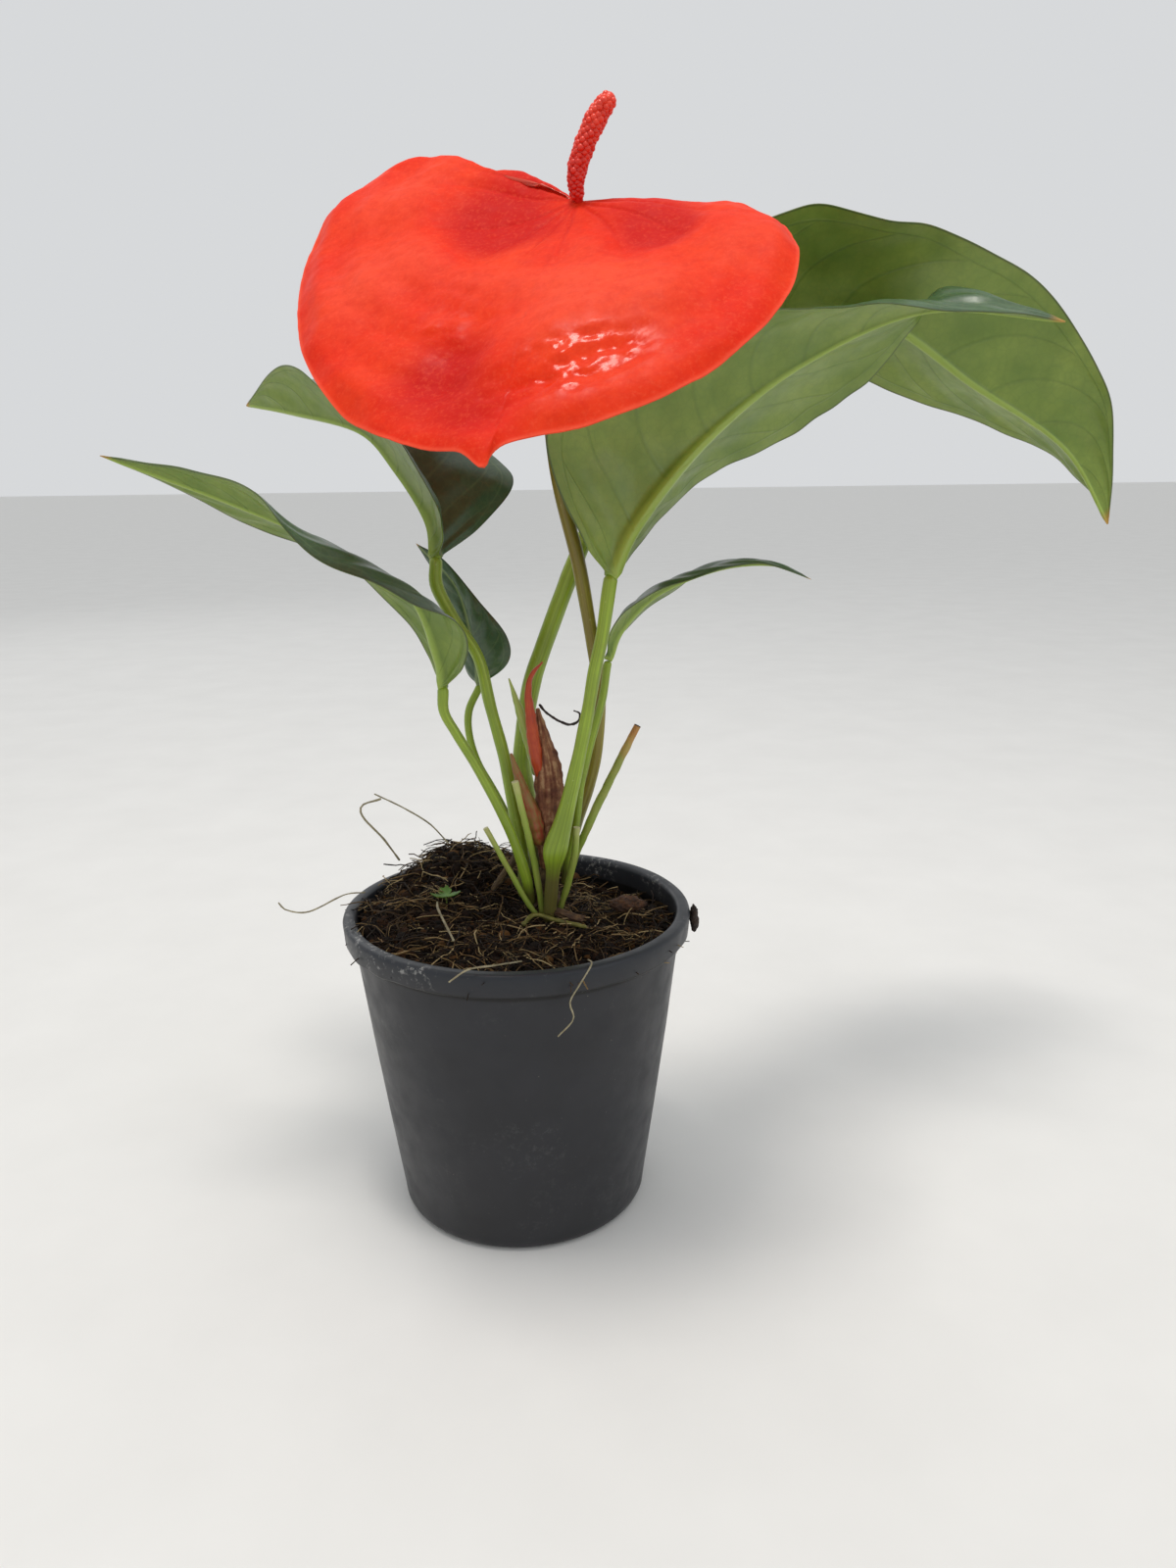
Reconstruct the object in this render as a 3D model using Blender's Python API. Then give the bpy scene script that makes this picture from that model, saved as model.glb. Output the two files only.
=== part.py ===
"""Potted anthurium: one plant with a single flower in a moulded nursery pot.

The origin is the centre of the pot's underside, +Z is up and -Y is the side
that the flower leans towards. Sizes below are millimetres; MM turns them into
Blender's metres when a mesh or curve is made.
"""
import math
import random

import bmesh
import bpy
import numpy as np
from mathutils import Matrix

MM = 0.001

# Pot, a thin moulded cup with a turned-over rim.
RIM_RADIUS = 63.5
POT_HEIGHT = 114.5
RIM_DEPTH = 8.5
RIM_WALL = 1.4
WALL = 1.6
BODY_TOP_RADIUS = 59.8
BODY_FOOT_RADIUS = 46.3
FOOT_ROUNDING = 4.5
FLOOR = 1.8
POT_SEGMENTS = 56
DRAIN_HOLES = 6
DRAIN_HOLE_RADIUS = 3.5
DRAIN_CIRCLE_RADIUS = 33.0
DRAIN_HOLE_SIDES = 16
DRAIN_CUT = 8.0

# Potting mix. Each heap is x, y, rise, spread.
MIX_LEVEL = 109.5
MIX_GAP = 0.5
MIX_BOTTOM_RADIUS = 43.0
MIX_EDGE_RADIUS = 57.3
MIX_EDGE_DROP = 2.5
MIX_SEGMENTS = 36
MIX_RINGS = (0.16, 0.32, 0.47, 0.61, 0.74, 0.86, 0.95, 1.0)
HEAPS = ((-24, 36, 15, 19), (-44, -8, 5, 16), (0, -46, 1.5, 18), (34, 34, -7, 18))
CRUMB = 0.9

# Stem base, round which every stalk is gathered.
CROWN_AXIS = (10.0, 4.5)
CROWN_LINE = ((10, 4.5, 88), (10, 4.5, 104), (10.4, 4.5, 116), (10.6, 4.4, 124), (10.8, 4.2, 127))
CROWN_RADII = (4.0, 4.8, 5.0, 4.6, 2.6)
POCKET_GAP = 0.5

BLADE_THICKNESS = 0.8
BLADE_ROWS = 15
BLADE_COLUMNS = (-1.0, -0.66, -0.33, 0.0, 0.33, 0.66, 1.0)
BLADE_ENDS = (0.006, 0.99)
CAMBER = 0.10

# Each leaf: its midrib from stalk to tip, and its two edges between those ends,
# left and right as seen on the upper side with the tip pointing away.
LEAVES = {
    "front_leaf": {
        "rib": ((35, -12, 234.5), (44, -7, 252), (69, 6, 280), (102, 18, 304), (143, 18, 320), (187, 6, 315)),
        "left": ((45, 10, 243), (66, 36, 263), (107, 54, 282), (133, 52, 301), (146, 42, 318), (156, 30, 328)),
        "right": ((25, -20, 249), (15, -24, 281), (34, -26, 302), (80, -20, 315), (133, -2, 319)),
    },
    "right_leaf": {
        "rib": ((63, 28, 300.5), (92, 40, 318), (134, 50, 321), (174, 57, 298), (211, 60, 275), (230, 58, 246)),
        "left": ((81, 48, 305), (122, 76, 306), (166, 86, 292), (206, 84, 278), (226, 66, 258)),
        "right": ((62, 18, 323), (81, 16, 346), (118, 22, 352), (181, 38, 336), (219, 50, 300), (228, 55, 272)),
    },
    "left_leaf": {
        "rib": ((-26, 12, 239.5), (-28, 16, 253), (-39, 22, 270), (-53, 30, 284), (-81, 48, 291),
                (-103, 66, 295)),
        "left": ((-22, 2, 250), (-24, -10, 263), (-39, -4, 282), (-59, 12, 295), (-80, 34, 307)),
        "right": ((-11, 20, 250), (1, 28, 265), (-8, 38, 275), (-38, 58, 295), (-73, 70, 305)),
    },
    "twisted_leaf": {
        "rib": ((-23, -8, 197), (-24, -8, 208), (-33, -10, 231), (-60, -14, 248), (-86, -18, 260),
                (-126, -24, 276)),
        "left": ((-14, -18, 206), (-16, -24, 220), (-31, -28, 230), (-58, -32, 245), (-77, -28, 264),
                 (-98, -26, 271)),
        "right": ((-29, 2, 207), (-37, 6, 220), (-58, 6, 239), (-82, 0, 250), (-104, -12, 264)),
    },
    "small_leaf": {
        "rib": ((-13, 20, 193), (-15, 21, 209), (-21, 26, 229), (-36, 34, 244)),
        "left": ((-18, 24, 198), (-22, 28, 212), (-28, 32, 231)),
        "right": ((-2, 14, 202), (-2, 14, 212), (-12, 20, 224), (-25, 29, 238)),
    },
    "narrow_leaf": {
        "rib": ((34, -1, 205), (39, 1, 216), (52, 3, 228), (73, 3, 236), (92, 3, 237), (105, 2, 232)),
        "left": ((38, 12, 211), (56, 20, 225), (72, 18, 236), (91, 8, 237)),
        "right": ((36, -6.5, 217), (48, -14, 230), (63, -14, 234), (85, -7, 238)),
    },
}

# Each stalk: its line from the crown up, and its radius along that line.
STALKS = {
    "front_leaf_stalk": (
        ((14, -7.5, 131), (14.6, -7.8, 137), (17.5, -8, 147), (21, -9, 162), (26, -9, 184), (29, -10, 201),
         (32, -11, 215), (35, -12, 234)),
        (3.6, 4.8, 3.2, 2.5, 2.3, 2.3, 2.3, 2.4)),
    "narrow_leaf_stalk": (
        ((17.2, 5.8, 121), (19.5, 5, 134), (22, 5, 144), (24, 4, 159), (28, 2, 176), (32, 0, 191),
         (34, -1, 204)),
        (1.4, 1.5, 1.5, 1.5, 1.5, 1.4, 1.4)),
    "right_leaf_stalk": (
        ((7, 15, 122), (5, 16, 138), (3, 18, 156), (2, 20, 167), (6, 21, 192), (11, 22, 207), (22, 22, 235),
         (33, 22, 259), (47, 24, 282), (62.6, 27.6, 299.6)),
        (3.2, 3.5, 3.4, 3.3, 3.3, 3.2, 3.1, 3.0, 2.8, 2.6)),
    "left_leaf_stalk": (
        ((2.4, 2.5, 118), (2.5, 2.5, 131), (0, 2.5, 147), (-3, 4, 167), (-8, 6, 188), (-12, 9, 205),
         (-20, 11, 218), (-26, 12, 230), (-26, 12, 239)),
        (2.4, 2.4, 2.3, 2.2, 2.1, 2.1, 2.2, 2.4, 2.3)),
    "twisted_leaf_stalk": (
        ((4.8, -0.8, 116), (3.4, -4.2, 128), (-2, -6, 146), (-11, -7, 166), (-19, -8, 181), (-23, -8, 189),
         (-23, -8, 196.5)),
        (1.9, 1.9, 1.8, 1.7, 1.7, 1.8, 1.9)),
    "small_leaf_stalk": (
        ((1.2, 9.5, 135), (-8, 12, 154), (-14, 14, 165), (-17, 16, 175), (-17, 18, 184), (-13, 20, 192.5)),
        (1.6, 1.5, 1.4, 1.4, 1.4, 1.4)),
    "flower_stalk": (
        ((17.6, 10.4, 124), (22, 11, 142), (27, 12, 157), (30, 10, 172), (31, 8, 194), (28, 5, 216),
         (24, 1, 240), (19, -2, 261), (16, -4, 282), (16, -6, 309), (19, -9, 332), (24.6, -13.4, 346)),
        (2.2, 2.3, 2.3, 2.3, 2.4, 2.4, 2.4, 2.4, 2.3, 2.2, 2.2, 2.4)),
    "papery_sheath": (
        ((12, 2.6, 129.5), (12.2, 2.3, 140), (12.8, 2, 152), (12.3, 2.4, 166), (10.6, 3.2, 177), (9, 4, 187)),
        (2.8, 3.7, 4.3, 3.4, 1.8, 0.5)),
    "new_leaf_spike": (
        ((9.0, -2.6, 166), (8, -1.7, 172), (6.4, 0, 184), (5.6, 1.6, 194), (7.4, 2.8, 200), (11, 3.4, 204)),
        (1.4, 1.9, 1.4, 0.8, 0.6, 0.4)),
    "green_bract": (
        ((7.6, 6.6, 163), (6.6, 6.4, 172), (3, 6, 184), (-1, 5, 198)),
        (1.2, 1.7, 1.3, 0.3)),
    "pink_sheath": (
        ((8.6, -2.6, 140), (6.8, -2.9, 149), (3, -2.4, 160), (-0.6, -1.4, 172)),
        (2.2, 2.5, 1.6, 0.4)),
    "cut_stub_right": (
        ((25.8, 5.2, 141), (29.8, 6.4, 150), (36.5, 9, 163), (45, 12, 179)),
        (1.4, 1.5, 1.5, 1.3)),
    "cut_stub_middle": (
        ((9.2, -2.7, 112), (8, -3.8, 124), (6.6, -5, 134), (4.5, -7.5, 146), (1, -9, 164)),
        (1.1, 1.2, 1.2, 1.2, 1.2)),
    "cut_stub_left": (
        ((7, -5, 112.5), (3.6, -5.6, 118), (-2, -7.2, 130), (-10, -9, 147)),
        (1.0, 1.0, 1.0, 0.9)),
    "cut_stub_front": (
        ((15.6, 0.2, 112.5), (18.3, -0.6, 121), (21.3, -2.4, 134), (22.4, -3, 145)),
        (1.1, 1.2, 1.2, 1.2)),
    "dry_tendril": (
        ((9.6, 4, 188.6), (13, 4, 185), (19, 2, 182), (23, 0, 183), (24, 0, 186), (22, 1, 187)),
        (0.45, 0.45, 0.45, 0.4, 0.35, 0.3)),
    "aerial_root": (
        ((0.4, 10.2, 131), (-4, 9.6, 125), (-9.5, 8.6, 117.5)),
        (1.3, 1.4, 1.1)),
}

SPADIX_LINE = ((26.2, -15.4, 348.4), (25.2, -17, 353), (26.2, -18, 359), (29.2, -19.5, 366),
               (32.6, -20.5, 372), (35.8, -21.4, 375.6))
SPADIX_RADII = (1.5, 2.3, 2.9, 3.1, 3.0, 2.0)

# Edge of the spathe, from the notch behind the spadix round the left lobe to the
# tip and back round the right lobe.
SPATHE_HUB = (25.8, -15.0, 348.6)
SPATHE_EDGE = (
    (14, -1, 357), (1, 9, 362), (-12, 13, 362), (-26, 22, 369), (-36, 23, 368), (-47, 20, 361), (-56, 12, 352),
    (-61, -3, 336), (-61, -19, 322), (-56, -42, 304), (-42, -66, 287), (-24, -84, 278), (-6, -96, 274.5),
    (1, -103, 271), (7, -98, 277), (33, -98, 283), (53, -94, 291), (71, -84, 303), (83, -70, 317),
    (87, -55, 329), (86, -38, 337), (79, -18, 343), (66, -3, 346), (50, 0, 348), (37, -6, 350),
)
SPATHE_RAYS = 36
SPATHE_RINGS = (0.0, 0.12, 0.3, 0.5, 0.7, 0.86, 1.0)
HUB_OPENING = 3.4
SPATHE_DOME = 3.0
SPATHE_THICKNESS = 0.8

# Loose stuff on the mix. Each fibre: its line, its radius and what it is.
FIBRES = {
    "pale_root": (
        ((3, -17, 113.4), (6.5, -9, 113.8), (14, -13.5, 113.6), (25, -20, 113.4)),
        0.8, "root"),
    "bent_fibre": (
        ((-29, -5, 117.6), (-27, -16, 118.5), (-20, -34, 114.6)),
        0.5, "straw"),
    "grass_stalk": (
        ((-46.5, 22, 125), (-52, 21, 134), (-59, 20, 143), (-59, 20, 147.6), (-52, 20, 150)),
        0.5, "straw"),
    "arched_fibre": (
        ((-28, 27, 130), (-35, 27, 138), (-45, 26, 145), (-55, 25, 150.6)),
        0.3, "straw"),
    "left_fibre": (
        ((-57, 4, 118.5), (-65, 5, 117.2), (-79, 7, 110), (-88, 9, 110), (-91, 10, 112.5)),
        0.3, "straw"),
    "hanging_root": (
        ((26, -54, 115.6), (27, -61, 117), (23, -66, 112), (20, -65.4, 106), (21, -65, 100), (16, -65, 94)),
        0.35, "straw"),
    "rim_fibre": (
        ((-18, -66.4, 114), (-12, -63.6, 117), (-4, -59, 116.2), (4, -50, 113.6)),
        0.35, "straw"),
}

# Each lump: its centre, its half sizes and its seed.
LUMPS = {
    "coir_lump": ((40.5, 1.0, 113.6), (6.5, 5.0, 3.0), 3),
    "rim_clod": ((66.8, -4.0, 110.5), (2.6, 3.4, 6.0), 5),
}
LUMP_ROUGHNESS = 0.14

BARK_SPOT = (18, -8, 113.4)
BARK_SIZE = (16, 4.2, 2.0)
BARK_TURN = math.radians(-43)
BARK_WEAR = 0.5

# Clover-like seedling: three leaflets, cupped, round one centre.
WEED_SPOT = (-26.5, 0.0)
WEED_RISE = 4.0
WEED_POINTS = 24
WEED_WAIST = 1.6
WEED_LEAFLET = 4.0
WEED_CUP = 0.06
WEED_THICKNESS = 0.5


def clear_scene():
    for old in list(bpy.data.objects):
        bpy.data.objects.remove(old, do_unlink=True)


def linear(channel):
    return channel / 12.92 if channel <= 0.04045 else ((channel + 0.055) / 1.055) ** 2.4


def material(name, colour, roughness, metallic=0.0):
    found = bpy.data.materials.get(name)
    if found:
        return found
    made = bpy.data.materials.new(name)
    made.use_nodes = True
    shader = made.node_tree.nodes["Principled BSDF"]
    rgb = [linear(int(colour[k:k + 2], 16) / 255) for k in (1, 3, 5)]
    shader.inputs["Base Color"].default_value = (*rgb, 1.0)
    shader.inputs["Roughness"].default_value = roughness
    shader.inputs["Metallic"].default_value = metallic
    return made


def place(name, data, finish):
    made = bpy.data.objects.new(name, data)
    bpy.context.scene.collection.objects.link(made)
    data.materials.append(finish)
    return made


def mesh_object(name, bm, finish, sharp=math.radians(40)):
    """Turn millimetre bmesh geometry into an object in metres."""
    bmesh.ops.scale(bm, vec=(MM, MM, MM), verts=bm.verts)
    data = bpy.data.meshes.new(name)
    bm.to_mesh(data)
    bm.free()
    data.shade_smooth()
    data.set_sharp_from_angle(angle=sharp)
    return place(name, data, finish)


def smooth_line(points, per_span=10):
    """Catmull-Rom curve through hand-placed points."""
    p = np.array(points, dtype=float)
    padded = np.vstack([2 * p[0] - p[1], p, 2 * p[-1] - p[-2]])
    t = np.linspace(0, 1, per_span, endpoint=False)[:, None]
    spans = []
    for a, b, c, d in zip(padded[:-3], padded[1:-2], padded[2:-1], padded[3:]):
        bend = (2 * a - 5 * b + 4 * c - d) * t ** 2 + (3 * b - a - 3 * c + d) * t ** 3
        spans.append(0.5 * (2 * b + (c - a) * t + bend))
    spans.append(p[-1:])
    return np.vstack(spans)


def along(line, fractions):
    """Points of a dense line at the given fractions of its length."""
    steps = np.linalg.norm(np.diff(line, axis=0), axis=1)
    run = np.concatenate([[0.0], np.cumsum(steps)])
    at = np.asarray(fractions) * run[-1]
    return np.stack([np.interp(at, run, line[:, k]) for k in range(line.shape[1])], axis=1)


def grid_faces(bm, rows):
    """Quads between rows of points, each row the same length."""
    made = [[bm.verts.new(point) for point in row] for row in rows]
    for near, far in zip(made, made[1:]):
        for k in range(len(near) - 1):
            bm.faces.new((near[k], near[k + 1], far[k + 1], far[k]))
    return made


def thicken(sheet, thickness):
    solid = sheet.modifiers.new("Thickness", "SOLIDIFY")
    solid.thickness = thickness * MM
    solid.offset = 0.0
    return sheet


def cut(target, cutter):
    cutter.hide_render = True
    cutter.display_type = "WIRE"
    step = target.modifiers.new("Cut " + cutter.name, "BOOLEAN")
    step.operation = "DIFFERENCE"
    step.object = cutter


def stem_curve(name, line, radii, finish, sides=2, per_span=2):
    """A round stem: a poly curve whose bevel follows the radii."""
    reach = np.hstack([np.array(line, dtype=float), np.array(radii, dtype=float)[:, None]])
    points = smooth_line(reach, per_span)
    curve = bpy.data.curves.new(name, "CURVE")
    curve.dimensions = "3D"
    curve.bevel_depth = MM
    curve.bevel_resolution = sides
    curve.use_fill_caps = True
    curve.render_resolution_u = 0
    spline = curve.splines.new("POLY")
    spline.points.add(len(points) - 1)
    for knot, (x, y, z, radius) in zip(spline.points, points):
        knot.co = (x * MM, y * MM, z * MM, 1.0)
        knot.radius = max(radius, 0.2)
    spline.use_smooth = True
    return place(name, curve, finish)


def mix_height(x, y):
    """Height of the potting mix at a place in the pot."""
    height = MIX_LEVEL
    for heap_x, heap_y, rise, spread in HEAPS:
        height += rise * math.exp(-((x - heap_x) ** 2 + (y - heap_y) ** 2) / (2 * spread ** 2))
    edge = math.hypot(x, y) / MIX_EDGE_RADIUS
    height -= MIX_EDGE_DROP * edge ** 6
    return height


def make_pot():
    taper = (BODY_TOP_RADIUS - BODY_FOOT_RADIUS) / (POT_HEIGHT - RIM_DEPTH - FOOT_ROUNDING)
    lip = POT_HEIGHT - RIM_DEPTH
    inner_top = BODY_TOP_RADIUS - WALL
    skirt_inside = RIM_RADIUS - RIM_WALL
    profile = [
        (0, FLOOR), (BODY_FOOT_RADIUS - 4.5, FLOOR), (BODY_FOOT_RADIUS - WALL - 0.6, FLOOR + 1.4),
        (BODY_FOOT_RADIUS - WALL + taper * 2, FOOT_ROUNDING + 2), (inner_top, lip),
        (inner_top + 0.2, POT_HEIGHT - 2.0), (inner_top + 0.9, POT_HEIGHT - 0.6), (inner_top + 2.0, POT_HEIGHT),
        (RIM_RADIUS - 1.4, POT_HEIGHT), (RIM_RADIUS - 0.4, POT_HEIGHT - 0.5), (RIM_RADIUS, POT_HEIGHT - 1.6),
        (RIM_RADIUS - 0.6, lip + 0.4), (RIM_RADIUS - 1.1, lip), (skirt_inside - 0.6, lip + 0.2),
        (skirt_inside, POT_HEIGHT - 2.6), (BODY_TOP_RADIUS + 0.4, POT_HEIGHT - 2.8), (BODY_TOP_RADIUS, lip + 1.0),
        (BODY_FOOT_RADIUS, FOOT_ROUNDING), (BODY_FOOT_RADIUS - 0.7, 1.9), (BODY_FOOT_RADIUS - 2.2, 0.5),
        (BODY_FOOT_RADIUS - 4.2, 0), (0, 0),
    ]
    data = bpy.data.meshes.new("pot")
    points = [(r * MM, 0, z * MM) for r, z in profile]
    data.from_pydata(points, [(k, k + 1) for k in range(len(points) - 1)], [])
    pot = place("pot", data, material("slate moulded plastic", "#3f4145", 0.42))
    turn = pot.modifiers.new("Turn", "SCREW")
    turn.steps = POT_SEGMENTS
    turn.render_steps = POT_SEGMENTS
    turn.use_merge_vertices = True
    turn.merge_threshold = 0.00005
    turn.use_smooth_shade = True
    bm = bmesh.new()
    for k in range(DRAIN_HOLES):
        angle = 2 * math.pi * (k + 0.5) / DRAIN_HOLES
        x = DRAIN_CIRCLE_RADIUS * math.cos(angle)
        y = DRAIN_CIRCLE_RADIUS * math.sin(angle)
        spot = Matrix.Translation((x, y, FLOOR / 2))
        bmesh.ops.create_cone(bm, cap_ends=True, segments=DRAIN_HOLE_SIDES, radius1=DRAIN_HOLE_RADIUS,
                              radius2=DRAIN_HOLE_RADIUS, depth=DRAIN_CUT, matrix=spot)
    cut(pot, mesh_object("drain_hole_cutter", bm, material("cutter", "#ff00ff", 0.5)))


def make_potting_mix():
    rng = random.Random(7)
    bm = bmesh.new()
    top = FLOOR + MIX_GAP
    rings = []
    for share in MIX_RINGS:
        ring = []
        for k in range(MIX_SEGMENTS):
            angle = 2 * math.pi * k / MIX_SEGMENTS
            radius = share * MIX_EDGE_RADIUS
            x = radius * math.cos(angle)
            y = radius * math.sin(angle)
            crumb = rng.uniform(-CRUMB, CRUMB)
            ring.append(bm.verts.new((x, y, mix_height(x, y) + crumb)))
        rings.append(ring)
    shoulder = [(MIX_EDGE_RADIUS, 104.0), (MIX_BOTTOM_RADIUS + 0.9, top + 6), (MIX_BOTTOM_RADIUS - 2, top)]
    for radius, z in shoulder:
        ring = []
        for k in range(MIX_SEGMENTS):
            angle = 2 * math.pi * k / MIX_SEGMENTS
            ring.append(bm.verts.new((radius * math.cos(angle), radius * math.sin(angle), z)))
        rings.append(ring)
    centre = bm.verts.new((0, 0, mix_height(0, 0)))
    for k in range(MIX_SEGMENTS):
        n = (k + 1) % MIX_SEGMENTS
        bm.faces.new((centre, rings[0][k], rings[0][n]))
        for upper, lower in zip(rings, rings[1:]):
            bm.faces.new((upper[k], lower[k], lower[n], upper[n]))
    bm.faces.new(list(reversed(rings[-1])))
    mix = mesh_object("potting_mix", bm, material("coir potting mix", "#3a2417", 0.95))
    radii = [radius + POCKET_GAP for radius in CROWN_RADII]
    line = [(x, y, z - POCKET_GAP if k == 0 else z) for k, (x, y, z) in enumerate(CROWN_LINE)]
    guide = stem_curve("crown_pocket_guide", line, radii, material("cutter", "#ff00ff", 0.5), sides=3)
    pocket = bpy.data.meshes.new_from_object(guide)
    bpy.data.objects.remove(guide, do_unlink=True)
    cut(mix, place("crown_pocket_cutter", pocket, material("cutter", "#ff00ff", 0.5)))


def make_blade(name, rib, left, right):
    """One leaf blade, lofted over its midrib and its two edges."""
    share = np.linspace(BLADE_ENDS[0], BLADE_ENDS[1], BLADE_ROWS)
    middle = along(smooth_line(rib), share)
    sides = {}
    for side, edge in ((-1, left), (1, right)):
        sides[side] = along(smooth_line((rib[0], *edge, rib[-1])), share)
    forward = np.gradient(middle, axis=0)
    up = np.cross(sides[1] - sides[-1], forward)
    up /= np.linalg.norm(up, axis=1)[:, None]
    rows = []
    for k in range(BLADE_ROWS):
        row = []
        for column in BLADE_COLUMNS:
            reach = sides[-1 if column < 0 else 1][k] - middle[k]
            lift = CAMBER * np.linalg.norm(reach) * math.sin(math.pi * abs(column))
            row.append(middle[k] + abs(column) * reach + lift * up[k])
        rows.append(row)
    bm = bmesh.new()
    grid_faces(bm, rows)
    blade = mesh_object(name + "_blade", bm, material("waxy leaf", "#5f7d34", 0.38))
    return thicken(blade, BLADE_THICKNESS)


def make_spathe():
    edge = along(smooth_line(SPATHE_EDGE), np.linspace(0, 1, SPATHE_RAYS))
    hub = np.array(SPATHE_HUB)
    tip = edge[np.argmin(edge[:, 2])]
    across = edge[-8] - edge[8]
    normal = np.cross(across, hub - tip)
    normal /= np.linalg.norm(normal)
    rows = []
    for share in SPATHE_RINGS:
        row = []
        for end in edge:
            reach = end - hub
            start = HUB_OPENING / np.linalg.norm(reach)
            part = start + (1 - start) * share
            row.append(hub + reach * part + normal * SPATHE_DOME * math.sin(math.pi * share))
        rows.append(row)
    bm = bmesh.new()
    grid_faces(bm, rows)
    thicken(mesh_object("spathe", bm, material("waxy red spathe", "#e5351c", 0.25)), SPATHE_THICKNESS)


def make_stalks():
    green = material("green leaf stalk", "#86a528", 0.42)
    finishes = {
        "flower_stalk": material("olive flower stalk", "#8a8420", 0.42),
        "papery_sheath": material("dry papery sheath", "#6d3a22", 0.8),
        "new_leaf_spike": material("red new leaf", "#c4401d", 0.4),
        "pink_sheath": material("pink olive sheath", "#8f5a38", 0.5),
        "dry_tendril": material("black dried tendril", "#241a14", 0.7),
        "aerial_root": material("corky root", "#6a5a48", 0.85),
    }
    for name, (line, radii) in STALKS.items():
        stem_curve(name, line, radii, finishes.get(name, green))
    stem_curve("crown", CROWN_LINE, CROWN_RADII, material("brown stem base", "#5a4a2c", 0.8), sides=3)
    stem_curve("spadix", SPADIX_LINE, SPADIX_RADII, material("red spadix", "#da2114", 0.45), sides=3)


def make_lump(name, finish):
    """A rough clod: an icosphere with its points pushed about."""
    centre, size, seed = LUMPS[name]
    rng = random.Random(seed)
    bm = bmesh.new()
    bmesh.ops.create_icosphere(bm, subdivisions=2, radius=1.0)
    for vert in bm.verts:
        vert.co *= 1 + rng.uniform(-LUMP_ROUGHNESS, LUMP_ROUGHNESS)
    bmesh.ops.scale(bm, vec=size, verts=bm.verts)
    bmesh.ops.translate(bm, vec=centre, verts=bm.verts)
    mesh_object(name, bm, finish)


def make_bark_chip():
    bm = bmesh.new()
    lie = Matrix.Translation(BARK_SPOT) @ Matrix.Rotation(BARK_TURN, 4, "Z")
    bmesh.ops.create_cube(bm, size=1.0, matrix=lie @ Matrix.Diagonal((*BARK_SIZE, 1)))
    bmesh.ops.bevel(bm, geom=bm.edges[:], offset=BARK_WEAR, segments=1, affect="EDGES")
    mesh_object("bark_chip", bm, material("bark", "#6b3d22", 0.9))


def make_weed_seedling():
    bm = bmesh.new()
    x, y = WEED_SPOT
    z = mix_height(x, y) + WEED_RISE
    centre = bm.verts.new((x, y, z))
    ring = []
    for k in range(WEED_POINTS):
        angle = 2 * math.pi * k / WEED_POINTS
        reach = WEED_WAIST + WEED_LEAFLET * abs(math.cos(1.5 * angle)) ** 0.7
        spot = (x + reach * math.cos(angle), y + reach * math.sin(angle), z + WEED_CUP * reach ** 2)
        ring.append(bm.verts.new(spot))
    for k in range(WEED_POINTS):
        bm.faces.new((centre, ring[k], ring[(k + 1) % WEED_POINTS]))
    thicken(mesh_object("weed_seedling", bm, material("weed green", "#4f7a2c", 0.5)), WEED_THICKNESS)


def make_debris():
    finishes = {
        "root": material("pale root", "#8d8b3a", 0.7),
        "straw": material("straw fibre", "#a8875a", 0.8),
    }
    for name, (line, radius, kind) in FIBRES.items():
        stem_curve(name, line, [radius] * len(line), finishes[kind], sides=1, per_span=3)
    make_lump("coir_lump", material("coir fibre lump", "#6e4426", 0.95))
    make_lump("rim_clod", material("wet clod", "#2b1d14", 0.85))
    make_bark_chip()
    make_weed_seedling()


def main():
    clear_scene()
    make_pot()
    make_potting_mix()
    make_stalks()
    for name, lines in LEAVES.items():
        make_blade(name, lines["rib"], lines["left"], lines["right"])
    make_spathe()
    make_debris()


main()
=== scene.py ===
"""Looks of a potted anthurium, built round its CAD frame.

Sizes are millimetres unless a name says otherwise; MM turns them into metres
when a mesh is made. +Z is up, -Y is the side that the flower leans towards.
"""
import math

import bmesh
import bpy
import numpy as np
from mathutils import Matrix, Vector


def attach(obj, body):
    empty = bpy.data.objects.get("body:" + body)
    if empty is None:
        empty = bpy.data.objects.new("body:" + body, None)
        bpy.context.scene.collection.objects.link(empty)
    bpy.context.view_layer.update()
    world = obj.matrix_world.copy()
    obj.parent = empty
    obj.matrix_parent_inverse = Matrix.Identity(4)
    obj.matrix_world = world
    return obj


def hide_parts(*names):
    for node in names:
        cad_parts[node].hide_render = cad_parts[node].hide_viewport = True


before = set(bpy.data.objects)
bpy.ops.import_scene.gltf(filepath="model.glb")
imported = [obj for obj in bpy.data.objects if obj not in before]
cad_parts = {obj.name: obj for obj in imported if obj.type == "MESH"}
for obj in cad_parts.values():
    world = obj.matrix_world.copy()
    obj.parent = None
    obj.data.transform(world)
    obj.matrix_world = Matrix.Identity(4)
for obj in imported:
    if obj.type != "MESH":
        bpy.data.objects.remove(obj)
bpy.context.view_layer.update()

BODY = "root"
MM = 0.001

bl_info = {
    "name": "Potted Anthurium Looks",
    "version": (1, 0, 0),
    "blender": (4, 5, 0),
    "location": "View3D > Sidebar > Anthurium",
    "description": "Surfaces of a potted anthurium: leaves, flower, stalks, potting mix and pot",
    "category": "Object",
}

# ---------------------------------------------------------------- shape data

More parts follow.
